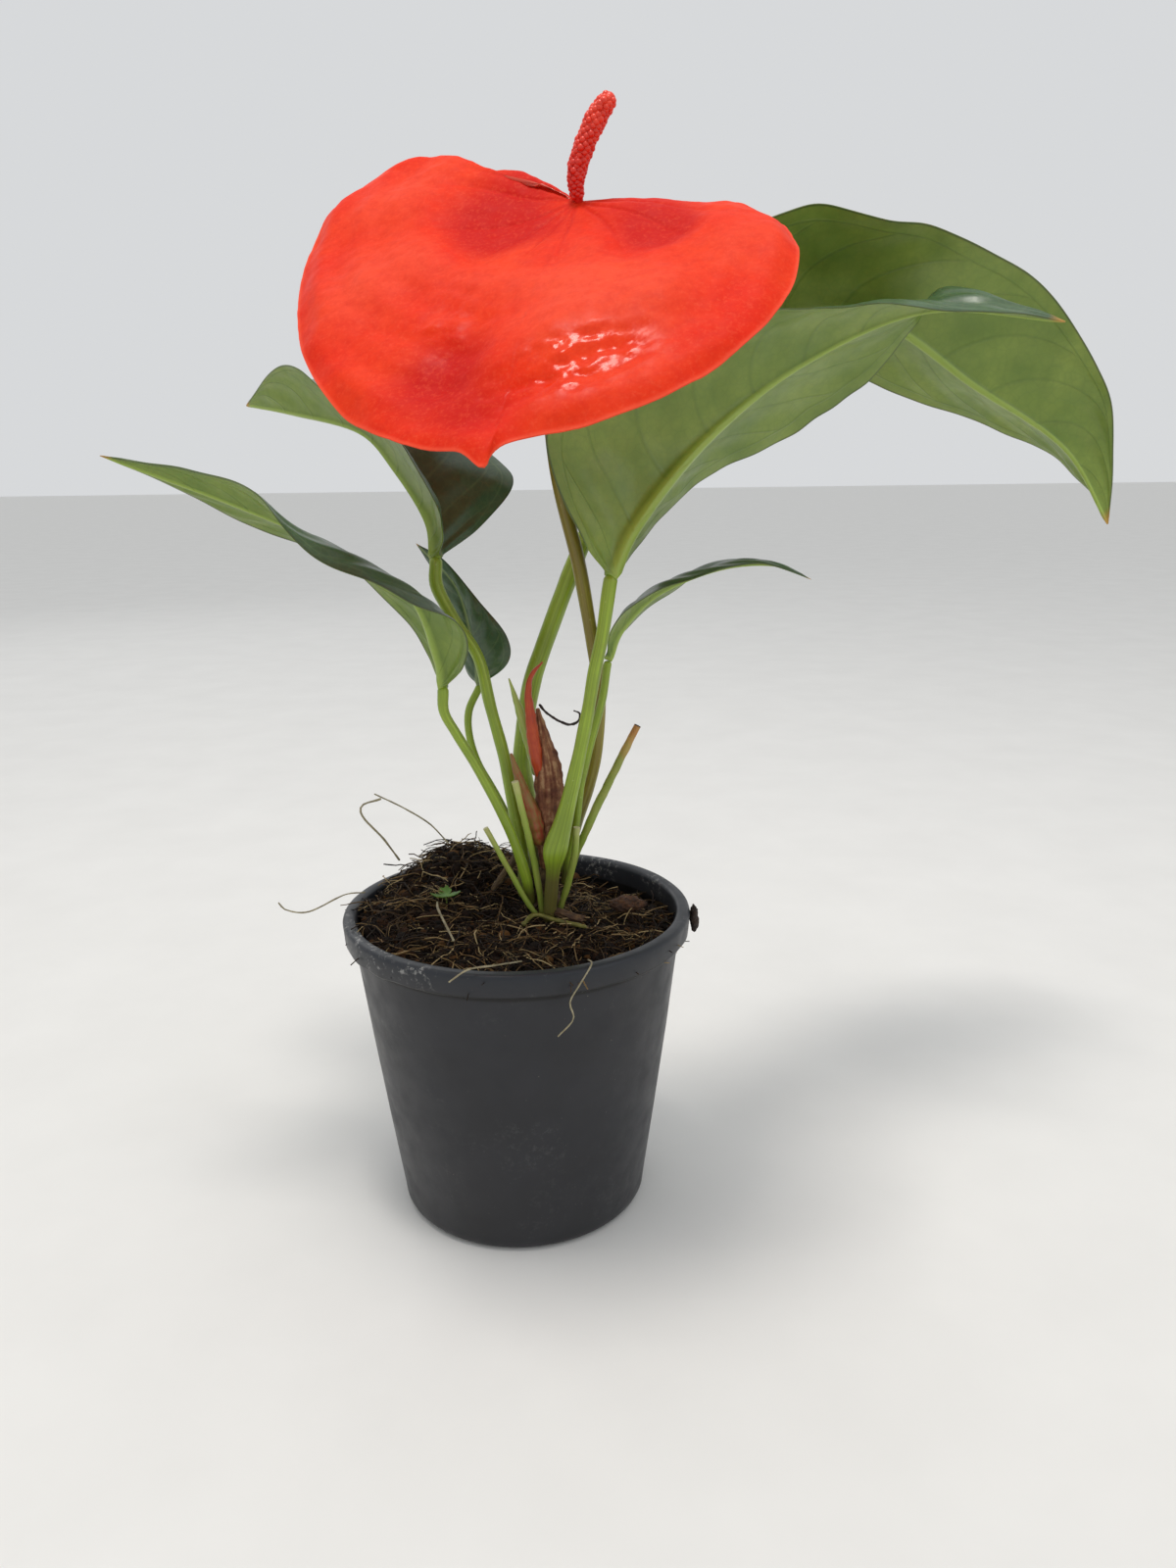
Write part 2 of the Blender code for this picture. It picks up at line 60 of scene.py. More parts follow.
# Each leaf: its midrib from stalk to tip, and its two edges between those ends,
# left and right as seen on the upper side with the tip pointing away.
LEAVES = {
    "front_leaf": {
        "rib": ((35, -12, 234.5), (44, -7, 252), (69, 6, 280), (102, 18, 304), (143, 18, 320), (187, 6, 315)),
        "left": ((45, 10, 243), (66, 36, 263), (107, 54, 282), (133, 52, 301), (146, 42, 318), (156, 30, 328)),
        "right": ((25, -20, 249), (15, -24, 281), (34, -26, 302), (80, -20, 315), (133, -2, 319)),
    },
    "right_leaf": {
        "rib": ((63, 28, 300.5), (92, 40, 318), (134, 50, 321), (174, 57, 298), (211, 60, 275), (230, 58, 246)),
        "left": ((81, 48, 305), (122, 76, 306), (166, 86, 292), (206, 84, 278), (226, 66, 258)),
        "right": ((62, 18, 323), (81, 16, 346), (118, 22, 352), (181, 38, 336), (219, 50, 300), (228, 55, 272)),
    },
    "left_leaf": {
        "rib": ((-26, 12, 239.5), (-28, 16, 253), (-39, 22, 270), (-53, 30, 284), (-81, 48, 291),
                (-103, 66, 295)),
        "left": ((-22, 2, 250), (-24, -10, 263), (-39, -4, 282), (-59, 12, 295), (-80, 34, 307)),
        "right": ((-11, 20, 250), (1, 28, 265), (-8, 38, 275), (-38, 58, 295), (-73, 70, 305)),
    },
    "twisted_leaf": {
        "rib": ((-23, -8, 197), (-24, -8, 208), (-33, -10, 231), (-60, -14, 248), (-86, -18, 260),
                (-126, -24, 276)),
        "left": ((-14, -18, 206), (-16, -24, 220), (-31, -28, 230), (-58, -32, 245), (-77, -28, 264),
                 (-98, -26, 271)),
        "right": ((-29, 2, 207), (-37, 6, 220), (-58, 6, 239), (-82, 0, 250), (-104, -12, 264)),
    },
    "small_leaf": {
        "rib": ((-13, 20, 193), (-15, 21, 209), (-21, 26, 229), (-36, 34, 244)),
        "left": ((-18, 24, 198), (-22, 28, 212), (-28, 32, 231)),
        "right": ((-2, 14, 202), (-2, 14, 212), (-12, 20, 224), (-25, 29, 238)),
    },
    "narrow_leaf": {
        "rib": ((34, -1, 205), (39, 1, 216), (52, 3, 228), (73, 3, 236), (92, 3, 237), (105, 2, 232)),
        "left": ((38, 12, 211), (56, 20, 225), (72, 18, 236), (91, 8, 237)),
        "right": ((36, -6.5, 217), (48, -14, 230), (63, -14, 234), (85, -7, 238)),
    },
}

# How each blade is finished: ridge radius where the stalk runs into it, pairs of
# side veins, height of the edge ripples and the seed of its unevenness.
BLADE_TRAITS = {
    "front_leaf": (2.4, 9, 0.8, 11),
    "right_leaf": (2.5, 9, 0.9, 12),
    "left_leaf": (2.2, 8, 0.9, 13),
    "twisted_leaf": (1.8, 8, 0.9, 14),
    "small_leaf": (1.3, 6, 0.4, 15),
    "narrow_leaf": (1.3, 6, 0.5, 16),
}
BLADE_ROWS = 150
BLADE_COLUMNS = 61
COLUMN_CROWDING = 1.7
BLADE_THICKNESS = 0.7
MARGIN_THICKNESS = 0.35
CAMBER = 0.10

# Stalks and other round growth: line and radius along it.
STALKS = {
    "front_leaf_stalk": (
        ((11.8, -4.6, 109), (12.6, -5.8, 120), (13.6, -7.2, 130), (14.6, -7.8, 138), (17.5, -8, 148),
         (21, -9, 162), (26, -9, 184), (29, -10, 201), (32, -11, 215), (35, -12, 234)),
        (2.4, 2.4, 2.6, 4.4, 3.4, 2.6, 2.3, 2.3, 2.3, 2.4)),
    "narrow_leaf_stalk": (
        ((17.2, 5.8, 121), (19.5, 5, 134), (22, 5, 144), (24, 4, 159), (28, 2, 176), (32, 0, 191),
         (34, -1, 204)),
        (1.4, 1.5, 1.5, 1.5, 1.5, 1.4, 1.4)),
    "right_leaf_stalk": (
        ((7, 15, 122), (5, 16, 138), (3, 18, 156), (2, 20, 167), (6, 21, 192), (11, 22, 207), (22, 22, 235),
         (33, 22, 259), (47, 24, 282), (62.6, 27.6, 299.6)),
        (3.2, 3.5, 3.4, 3.3, 3.3, 3.2, 3.1, 3.0, 2.8, 2.6)),
    "left_leaf_stalk": (
        ((2.4, 2.5, 118), (2.5, 2.5, 131), (0, 2.5, 147), (-3, 4, 167), (-8, 6, 188), (-12, 9, 205),
         (-20, 11, 218), (-26, 12, 230), (-26, 12, 239)),
        (2.4, 2.4, 2.3, 2.2, 2.1, 2.1, 2.2, 2.4, 2.3)),
    "twisted_leaf_stalk": (
        ((4.8, -0.8, 116), (3.4, -4.2, 128), (-2, -6, 146), (-11, -7, 166), (-19, -8, 181), (-23, -8, 189),
         (-23, -8, 196.5)),
        (1.9, 1.9, 1.8, 1.7, 1.7, 1.8, 1.9)),
    "small_leaf_stalk": (
        ((1.2, 9.5, 135), (-8, 12, 154), (-14, 14, 165), (-17, 16, 175), (-17, 18, 184), (-13, 20, 192.5)),
        (1.6, 1.5, 1.4, 1.4, 1.4, 1.4)),
    "flower_stalk": (
        ((17.6, 10.4, 124), (22, 11, 142), (27, 12, 157), (30, 10, 172), (31, 8, 194), (28, 5, 216),
         (24, 1, 240), (19, -2, 261), (16, -4, 282), (16, -6, 309), (19, -9, 332), (24.6, -13.4, 346)),
        (2.2, 2.3, 2.3, 2.3, 2.4, 2.4, 2.4, 2.4, 2.3, 2.2, 2.2, 2.4)),
    "papery_sheath": (
        ((12, 2.6, 129.5), (12.2, 2.3, 140), (12.8, 2, 152), (12.3, 2.4, 166), (10.6, 3.2, 177), (9, 4, 187)),
        (3.4, 4.9, 5.5, 4.5, 2.6, 0.7)),
    "new_leaf_spike": (
        ((10.6, 3.0, 158), (9.2, 0.9, 166), (7.9, 0.0, 174), (6.7, 0.4, 184), (5.9, 1.6, 194), (7.4, 2.8, 200),
         (11, 3.4, 204)),
        (1.8, 2.2, 2.3, 1.9, 1.2, 0.8, 0.3)),
    "green_bract": (
        ((7.6, 6.6, 163), (6.6, 6.4, 172), (3, 6, 184), (-1, 5, 198)),
        (1.5, 2.3, 1.7, 0.3)),
    "pink_sheath": (
        ((8.6, -2.6, 140), (6.8, -2.9, 149), (3, -2.4, 160), (-0.6, -1.4, 172)),
        (2.4, 2.9, 2.0, 0.5)),
    "cut_stub_right": (
        ((18.6, 8.2, 119), (21.6, 7.2, 131), (25.8, 5.6, 141), (29.8, 6.4, 150), (36.5, 9, 163), (45, 12, 179)),
        (1.3, 1.4, 1.5, 1.6, 1.5, 1.3)),
    "cut_stub_middle": (
        ((9.2, -2.7, 112), (8, -3.8, 124), (6.6, -5, 134), (4.5, -7.5, 146), (1, -9, 164)),
        (1.1, 1.2, 1.2, 1.2, 1.2)),
    "cut_stub_left": (
        ((7, -5, 112.5), (3.6, -5.6, 118), (-2, -7.2, 130), (-10, -9, 147)),
        (1.0, 1.0, 1.0, 0.9)),
    "cut_stub_front": (
        ((15.6, 0.2, 112.5), (18.3, -0.6, 121), (21.3, -2.4, 134), (22.4, -3, 145)),
        (1.1, 1.2, 1.2, 1.2)),
    "dry_tendril": (
        ((9.6, 4, 188.6), (13, 4, 185), (19, 2, 182), (23, 0, 183), (24, 0, 186), (22, 1, 187)),
        (0.45, 0.45, 0.45, 0.4, 0.35, 0.3)),
    "aerial_root": (
        ((0.4, 10.2, 131), (-4, 9.6, 125), (-9.5, 8.6, 117.5)),
        (1.3, 1.4, 1.1)),
    "crown": (
        ((10, 4.5, 88), (10, 4.5, 104), (10.4, 4.5, 116), (10.6, 4.4, 124), (10.8, 4.2, 127)),
        (4.0, 4.8, 5.0, 4.6, 2.6)),
}

SPADIX_LINE = ((26.2, -15.4, 348.4), (25.2, -17, 353), (26.2, -18, 359), (29.2, -19.5, 366),
               (32.6, -20.5, 372), (35.8, -21.4, 375.6))
SPADIX_RADII = (1.5, 2.3, 2.9, 3.1, 3.0, 2.0)

# Edge of the spathe, from the notch behind the spadix round the left lobe to the
# tip and back round the right lobe.
SPATHE_HUB = (25.8, -15.0, 348.6)
SPATHE_EDGE = (
    (14, -1, 357), (1, 9, 362), (-12, 13, 362), (-26, 22, 369), (-36, 23, 368), (-47, 20, 361), (-56, 12, 352),
    (-61, -3, 336), (-61, -19, 322), (-56, -42, 304), (-42, -66, 287), (-24, -84, 278), (-6, -96, 274.5),
    (1, -103, 271), (7, -98, 277), (33, -98, 283), (53, -94, 291), (71, -84, 303), (83, -70, 317),
    (87, -55, 329), (86, -38, 337), (79, -18, 343), (66, -3, 346), (50, 0, 348), (37, -6, 350),
)
SPATHE_RAYS = 300
SPATHE_RINGS = 110
HUB_OPENING = 1.2
SPATHE_DOME = 3.0
SPATHE_THICKNESS = 0.8

# Sunken veins of the spathe, seen from above as x and y.
SPATHE_VEINS = (
    ((23, -13), (11, -6), (-4, 2), (-18, 10), (-30, 17)),
    ((23, -14), (10, -10), (-7, -2), (-24, 3), (-42, 8)),
    ((23, -16), (10, -18), (-8, -16), (-28, -12), (-48, -8)),
    ((23, -17), (8, -26), (-12, -36), (-30, -44), (-44, -50)),
    ((24, -18), (12, -36), (0, -56), (-12, -74), (-16, -86)),
    ((25, -18), (22, -32), (18, -52), (10, -76), (3, -98)),
    ((27, -18), (35, -34), (39, -52), (37, -70), (30, -88)),
    ((28, -18), (42, -30), (54, -42), (60, -58), (54, -76)),
    ((29, -17), (50, -26), (68, -38), (75, -54), (68, -74)),
    ((29, -15), (46, -18), (62, -22), (76, -32), (80, -46)),
    ((29, -13), (44, -10), (58, -9), (70, -14), (78, -24)),
)

# Bowls and swells of the spathe: x, y, height and spread.
SPATHE_SWELLS = (
    (0, -20, -2.4, 11), (52, -42, -3.2, 11), (74, -52, 1.8, 10), (31, -42, 1.6, 7), (10, -38, 1.4, 8),
    (24, -66, 2.4, 13), (-12, -70, -3.4, 10), (-4, -88, -2.0, 8), (-36, -30, 2.4, 14), (-36, 2, 2.0, 10),
    (46, -68, 1.6, 9), (-20, -12, -0.9, 9),
)

# Pot profile.
RIM_RADIUS = 63.5
POT_HEIGHT = 114.5
RIM_DEPTH = 8.5
RIM_WALL = 1.4
WALL = 1.6
BODY_TOP_RADIUS = 59.8
BODY_FOOT_RADIUS = 46.3
FOOT_ROUNDING = 4.5
FLOOR = 1.8
POT_SEGMENTS = 192
DRAIN_HOLES = 6
DRAIN_HOLE_RADIUS = 3.5
DRAIN_CIRCLE_RADIUS = 33.0
DRAIN_CUT = 8.0

# Potting mix. Each heap is x, y, rise, spread.
MIX_LEVEL = 109.5
MIX_EDGE_RADIUS = 57.3
MIX_EDGE_DROP = 2.5
MIX_BOTTOM_RADIUS = 43.0
MIX_GAP = 0.5
HEAPS = ((-24, 36, 15, 19), (-44, -8, 5, 16), (0, -46, 1.5, 18), (34, 34, -7, 18))

# Loose stuff on the mix: line, radius and what it is.
FIBRES = {
    "pale_root": (
        ((3, -17, 113.4), (6.5, -9, 113.8), (14, -13.5, 113.6), (25, -20, 113.4)),
        0.8, "root"),
    "bent_fibre": (
        ((-29, -5, 117.6), (-27, -16, 118.5), (-20, -34, 114.6)),
        0.42, "straw"),
    "grass_stalk": (
        ((-46.5, 22, 125), (-52, 21, 134), (-59, 20, 143), (-59, 20, 147.6), (-52, 20, 150)),
        0.4, "straw"),
    "arched_fibre": (
        ((-28, 27, 130), (-35, 27, 138), (-45, 26, 145), (-55, 25, 150.6)),
        0.3, "straw"),
    "left_fibre": (
        ((-57, 4, 118.5), (-65, 5, 117.2), (-79, 7, 110), (-88, 9, 110), (-91, 10, 112.5)),
        0.3, "straw"),
    "hanging_root": (
        ((26, -54, 115.6), (27, -61, 117), (23, -66, 112), (20, -65.4, 106), (21, -65, 100), (16, -65, 94)),
        0.25, "straw"),
    "rim_fibre": (
        ((-18, -66.4, 114), (-12, -63.6, 117), (-4, -59, 116.2), (4, -50, 113.6)),
        0.27, "straw"),
}
LUMPS = {
    "coir_lump": ((40.5, 1.0, 113.6), (6.5, 5.0, 3.0), 3),
    "rim_clod": ((64.8, -4.0, 109.8), (1.6, 2.4, 5.6), 5),
}
BARK_SPOT = (18, -8, 113.4)
BARK_SIZE = (16, 4.2, 2.0)
BARK_TURN = math.radians(-43)
WEED_SPOT = (-26.5, 0.0)
WEED_RISE = 4.0


# ------------------------------------------------------------------- helpers

def linear(colour):
    """Linear RGBA of an sRGB hex colour."""
    channels = [int(colour[k:k + 2], 16) / 255 for k in (1, 3, 5)]
    return (*[c / 12.92 if c <= 0.04045 else ((c + 0.055) / 1.055) ** 2.4 for c in channels], 1.0)


def smooth_line(points, per_span=24):
    """Catmull-Rom curve through given points."""
    p = np.array(points, dtype=float)
    padded = np.vstack([2 * p[0] - p[1], p, 2 * p[-1] - p[-2]])
    t = np.linspace(0, 1, per_span, endpoint=False)[:, None]
    spans = []
    for a, b, c, d in zip(padded[:-3], padded[1:-2], padded[2:-1], padded[3:]):
        bend = (2 * a - 5 * b + 4 * c - d) * t ** 2 + (3 * b - a - 3 * c + d) * t ** 3
        spans.append(0.5 * (2 * b + (c - a) * t + bend))
    spans.append(p[-1:])
    return np.vstack(spans)


def along(line, fractions):
    """Points of a dense line at the given fractions of its length."""
    steps = np.linalg.norm(np.diff(line[:, :3], axis=0), axis=1)
    run = np.concatenate([[0.0], np.cumsum(steps)])
    at = np.asarray(fractions) * run[-1]
    return np.stack([np.interp(at, run, line[:, k]) for k in range(line.shape[1])], axis=1)


def unit(vectors):
    return vectors / np.maximum(np.linalg.norm(vectors, axis=-1, keepdims=True), 1e-9)


def ripple(points, wavelength, seed, waves=14):
    """Smooth seeded unevenness, about -1 to 1, with bumps a wavelength apart."""
    rng = np.random.default_rng(seed)
    heading = unit(rng.normal(size=(waves, 3)))
    pace = 2 * math.pi / wavelength * rng.uniform(0.7, 1.4, waves)
    phase = rng.uniform(0, 2 * math.pi, waves)
    return np.sin(points @ (heading * pace[:, None]).T + phase).sum(axis=-1) / math.sqrt(waves)


def bell(distance, width):
    return np.exp(-(distance / width) ** 2)


def smoothstep(low, high, value):
    t = np.clip((value - low) / (high - low), 0, 1)
    return t * t * (3 - 2 * t)


def mesh_piece(name, points, faces, materials, uv=None, face_slots=None, sharp=math.radians(60)):
    """A smooth-shaded mesh object at the origin, from points in millimetres."""
    data = bpy.data.meshes.new(name)
    data.from_pydata((np.asarray(points) * MM).tolist(), [], faces)
    for finish in materials:
        data.materials.append(finish)
    if face_slots is not None:
        data.polygons.foreach_set("material_index", face_slots)
    if uv is not None:
        layer = data.uv_layers.new(name="UVMap")
        corners = np.zeros(len(data.loops), dtype=np.int32)
        data.loops.foreach_get("vertex_index", corners)
        layer.data.foreach_set("uv", np.asarray(uv, dtype=np.float32)[corners].ravel())
    data.validate()
    data.shade_smooth()
    data.set_sharp_from_angle(angle=sharp)
    piece = bpy.data.objects.new(name, data)
    bpy.context.scene.collection.objects.link(piece)
    return piece


def stand_for(piece, slot, *nodes):
    """The piece takes the place of CAD nodes and rides on their body."""
    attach(piece, BODY)
    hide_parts(*nodes)


def grid_quads(rows, columns, start=0, closed=False, flip=False):
    """Quads over a grid of points stored row by row; closed joins the last column to the first."""
    quads = []
    for r in range(rows - 1):
        for c in range(columns if closed else columns - 1):
            d = (c + 1) % columns
            quad = (start + r * columns + c, start + r * columns + d,
                    start + (r + 1) * columns + d, start + (r + 1) * columns + c)
            quads.append(quad[::-1] if flip else quad)
    return quads


def tube_points(line, radii, sides=24, rings=None, wobble=None):
    """Rings of points round a line; wobble(angle, run, centres) gives a factor on the radius."""
    reach = np.hstack([np.array(line, dtype=float), np.array(radii, dtype=float)[:, None]])
    dense = smooth_line(reach)
    length = np.linalg.norm(np.diff(dense[:, :3], axis=0), axis=1).sum()
    rings = rings or max(6, int(length / 1.6))
    path = along(dense, np.linspace(0, 1, rings))
    centres = path[:, :3]
    forward = unit(np.gradient(centres, axis=0))
    side = np.zeros_like(forward)
    side[0] = unit(np.cross(forward[0], (0.31, -0.82, 0.47)))
    for k in range(1, rings):
        side[k] = unit(side[k - 1] - forward[k] * np.dot(side[k - 1], forward[k]))
    other = np.cross(forward, side)
    angle = np.linspace(0, 2 * math.pi, sides, endpoint=False)
    radius = np.maximum(path[:, 3], 0.1)[:, None] * np.ones(sides)
    outward = side[:, None] * np.cos(angle)[None, :, None] + other[:, None] * np.sin(angle)[None, :, None]
    if wobble:
        run = np.linspace(0, length, rings)
        radius = radius * wobble(angle[None, :], run[:, None], centres[:, None] + outward * radius[..., None])
    return centres, outward, centres[:, None] + outward * radius[..., None], length


def tube_piece(name, line, radii, finish, sides=24, rings=None, wobble=None, round_ends=(True, True)):
    """A capped tube. Its UV is round the stem and along it, both 0 to 1."""
    centres, _, rows, _ = tube_points(line, radii, sides, rings, wobble)
    count = len(rows)
    caps = []
    for end, inner in ((0, 1), (count - 1, count - 2)):
        heading = unit(centres[end] - centres[inner])
        size = np.linalg.norm(rows[end] - centres[end], axis=1).mean()
        bulge = size * (0.7 if round_ends[0 if end == 0 else 1] else 0.12)
        rounds = []
        for shrink, lift in ((0.8, 0.6), (0.45, 0.9)):
            rounds.append(centres[end] + (rows[end] - centres[end]) * shrink + heading * bulge * lift)
        caps.append((rounds, centres[end] + heading * bulge))
    grid = [caps[0][0][1], caps[0][0][0], *rows, caps[1][0][0], caps[1][0][1]]
    total = len(grid)
    points = np.vstack([*grid, caps[0][1][None], caps[1][1][None]])
    faces = grid_quads(total, sides, closed=True)
    low = total * sides
    last = (total - 1) * sides
    for k in range(sides):
        n = (k + 1) % sides
        faces.append((low, n, k))
        faces.append((low + 1, last + k, last + n))
    v = np.repeat(np.concatenate([[0, 0], np.linspace(0, 1, count), [1, 1]]), sides)
    u = np.tile(np.abs(np.linspace(-1, 1, sides, endpoint=False)), total)
    uv = np.vstack([np.stack([u, v], axis=1), (0.5, 0.0), (0.5, 1.0)])
    return mesh_piece(name, points, faces, [finish], uv)


def curve_distance(points, line):
    """Distance from each point to a dense line."""
    best = np.full(len(points), 1e9)
    for start, end in zip(line[:-1], line[1:]):
        step = end - start
        t = np.clip((points - start) @ step / max(step @ step, 1e-9), 0, 1)
        best = np.minimum(best, np.linalg.norm(points - start - t[:, None] * step, axis=1))
    return best


def mix_height(x, y):
    """Height of the potting mix at a place in the pot, without its crumbs."""
    height = MIX_LEVEL - MIX_EDGE_DROP * (np.hypot(x, y) / MIX_EDGE_RADIUS) ** 6
    for heap_x, heap_y, rise, spread in HEAPS:
        height = height + rise * np.exp(-((x - heap_x) ** 2 + (y - heap_y) ** 2) / (2 * spread ** 2))
    return height


# ----------------------------------------------------------------- materials

def shade(colour):
    """A colour socket's value from a hex colour, a grey level or a linear colour."""
    if isinstance(colour, str):
        return linear(colour)
    if isinstance(colour, (int, float)):
        return (colour, colour, colour, 1.0)
    return (*colour[:3], 1.0)


def add(tree, kind, feeds=None, stops=None, **settings):
    """Add a node: settings are its properties, feeds its inputs, each a value or another node's output."""
    made = tree.nodes.new(kind)
    for key, value in settings.items():
        setattr(made, key, value)
    for key, value in (feeds or {}).items():
        if isinstance(value, bpy.types.NodeSocket):
            tree.links.new(value, made.inputs[key])
        else:
            made.inputs[key].default_value = value
    if stops:
        ramp = made.color_ramp
        while len(ramp.elements) < len(stops):
            ramp.elements.new(0.5)
        for element, (place, colour) in zip(ramp.elements, stops):
            element.position = place
            element.color = shade(colour)
    return made


def finish(name, roughness, **fixed):
    """A material whose shader values are set on its own sockets; returns it, its tree and its shader."""
    made = bpy.data.materials.new(name)
    made.use_nodes = True
    tree = made.node_tree
    shader = tree.nodes["Principled BSDF"]
    shader.inputs["Roughness"].default_value = roughness
    for key, value in fixed.items():
        shader.inputs[key.replace("_", " ").title().replace("Ior", "IOR")].default_value = value
    return made, tree, shader


def blend_colour(tree, factor, first, second, mode="MIX"):
    mix = add(tree, "ShaderNodeMix", data_type="RGBA", blend_type=mode)
    for socket, value in ((mix.inputs[0], factor), (mix.inputs[6], first), (mix.inputs[7], second)):
        if isinstance(value, bpy.types.NodeSocket):
            tree.links.new(value, socket)
        else:
            socket.default_value = linear(value) if isinstance(value, str) else value
    return mix.outputs[2]


def bump(tree, shader, height, strength, depth_mm):
    made = add(tree, "ShaderNodeBump", {"Height": height, "Strength": strength, "Distance": depth_mm * MM})
    previous = shader.inputs["Normal"].links
    if previous:
        tree.links.new(previous[0].from_socket, made.inputs["Normal"])
    tree.links.new(made.outputs[0], shader.inputs["Normal"])


def per_mm(size):
    """Texture scale, in metres, of a pattern that repeats every size millimetres."""
    return 1000.0 / size


def noise(tree, vector, size, detail=3.0, roughness=0.55):
    made = add(tree, "ShaderNodeTexNoise",
               {"Vector": vector, "Scale": per_mm(size), "Detail": detail, "Roughness": roughness})
    return made.outputs["Fac"]


def mapped(tree, value, low, high, to_low=0.0, to_high=1.0):
    made = add(tree, "ShaderNodeMapRange", {"Value": value, "From Min": low, "From Max": high,
                                            "To Min": to_low, "To Max": to_high}, clamp=True)
    return made.outputs[0]


def attribute(tree, name):
    return add(tree, "ShaderNodeAttribute", attribute_name=name).outputs["Fac"]


def spots(tree):
    """Object coordinates."""
    return add(tree, "ShaderNodeTexCoord").outputs["Object"]


def uneven_roughness(tree, shader, vector, size, low, high):
    tree.links.new(mapped(tree, noise(tree, vector, size), 0.3, 0.7, low, high), shader.inputs["Roughness"])


def pot_plastic(looks):
    """Moulded polypropylene: satin slate grey, faint grain, a scuffed rim, and painted shade in a near-black band
    under the rim's lip.
    """
    made, tree, shader = finish("moulded polypropylene", 0.4, IOR=1.49)
    shader.inputs["Specular IOR Level"].default_value = 0.4
    at = spots(tree)
    clouds = noise(tree, at, 24)
    body = blend_colour(tree, mapped(tree, clouds, 0.3, 0.7), shade(looks.pot_colour), "#26272c")
    height = add(tree, "ShaderNodeSeparateXYZ", {"Vector": at}).outputs["Z"]
    on_rim = mapped(tree, height, (POT_HEIGHT - RIM_DEPTH) * MM, (POT_HEIGHT - 2) * MM)
    body = blend_colour(tree, mapped(tree, on_rim, 0, 1, 0, 0.5), body, "#252a31")
    lip = (POT_HEIGHT - RIM_DEPTH) * MM
    # Painted shade: a near-black band on the body just under the rim's lip, where the overhang's shadow falls.
    above = mapped(tree, height, lip - 2.9 * MM, lip - 2.1 * MM, 0, 0.96)
    below = mapped(tree, height, lip + 0.4 * MM, lip + 0.9 * MM, 1, 0)
    under_lip_shade = add(tree, "ShaderNodeMath", {0: above, 1: below}, operation="MULTIPLY").outputs[0]
    body = blend_colour(tree, under_lip_shade, body, "#050506")
    low_dust = mapped(tree, height, 0, 45 * MM, 0.2, 0)
    body = blend_colour(tree, low_dust, body, "#3d3b39")
    scuff = mapped(tree, noise(tree, at, 2.6, 7, 0.78), 0.53, 0.68)
    patch = mapped(tree, noise(tree, at, 30, 2), 0.50, 0.62)
    scuffed = add(tree, "ShaderNodeMath", {0: scuff, 1: patch}, operation="MULTIPLY").outputs[0]
    scuffed = add(tree, "ShaderNodeMath", {0: scuffed, 1: mapped(tree, on_rim, 0, 0.4, 0.06, 0.8)},
                  operation="MULTIPLY").outputs[0]
    body = blend_colour(tree, scuffed, body, "#b9b8b4")
    specks = mapped(tree, noise(tree, at, 1.1, 2, 0.6), 0.74, 0.79)
    body = blend_colour(tree, mapped(tree, specks, 0, 1, 0, 0.5), body, "#8d8779")
    tree.links.new(body, shader.inputs["Base Color"])
    uneven_roughness(tree, shader, at, 9, 0.34, 0.5)
    bump(tree, shader, noise(tree, at, 0.8, 2), 0.25, 0.06)
    bump(tree, shader, noise(tree, at, 16, 2), 0.5, 0.35)
    return made


def damp_mix(looks):
    """Damp coir and peat: nearly black brown crumbs, a few rusty and tan ones."""
    made, tree, shader = finish("damp coir potting mix", 0.88)
    shader.inputs["Specular IOR Level"].default_value = 0.2
    at = spots(tree)
    tone = attribute(tree, "tone")
    ground = add(tree, "ShaderNodeValToRGB", {"Fac": noise(tree, at, 2.6, 6, 0.7)},
                 stops=((0.34, "#050302"), (0.5, shade(looks.mix_colour)), (0.62, "#2b1a0d"), (0.76, "#54351b")))
    crumbs = add(tree, "ShaderNodeValToRGB", {"Fac": tone},
                 stops=((0.0, "#0b0704"), (0.5, "#1b1009"), (0.85, "#3f2715"), (1.0, "#755029")))
    colour = blend_colour(tree, mapped(tree, tone, 0.001, 0.002, 0, 0.7), ground.outputs[0], crumbs.outputs[0])
    tree.links.new(colour, shader.inputs["Base Color"])
    uneven_roughness(tree, shader, at, 3, 0.7, 0.98)
    bump(tree, shader, noise(tree, at, 0.9, 5, 0.7), 0.8, 0.5)
    return made


def coir_fibre(looks):
    """Coconut fibre and fine roots: tan to rust threads, each its own tone."""
    made, tree, shader = finish("coir fibre", 0.7)
    shader.inputs["Specular IOR Level"].default_value = 0.25
    at = spots(tree)
    tone = attribute(tree, "tone")
    threads = add(tree, "ShaderNodeValToRGB", {"Fac": tone},
                  stops=((0.0, "#0c0804"), (0.5, "#241a10"), (0.82, shade(looks.fibre_colour)), (1.0, "#cdb686")))
    streaks = mapped(tree, noise(tree, at, 1.5, 3), 0.35, 0.7, 0, 0.45)
    tree.links.new(blend_colour(tree, streaks, threads.outputs[0], "#3a2414"), shader.inputs["Base Color"])
    return made


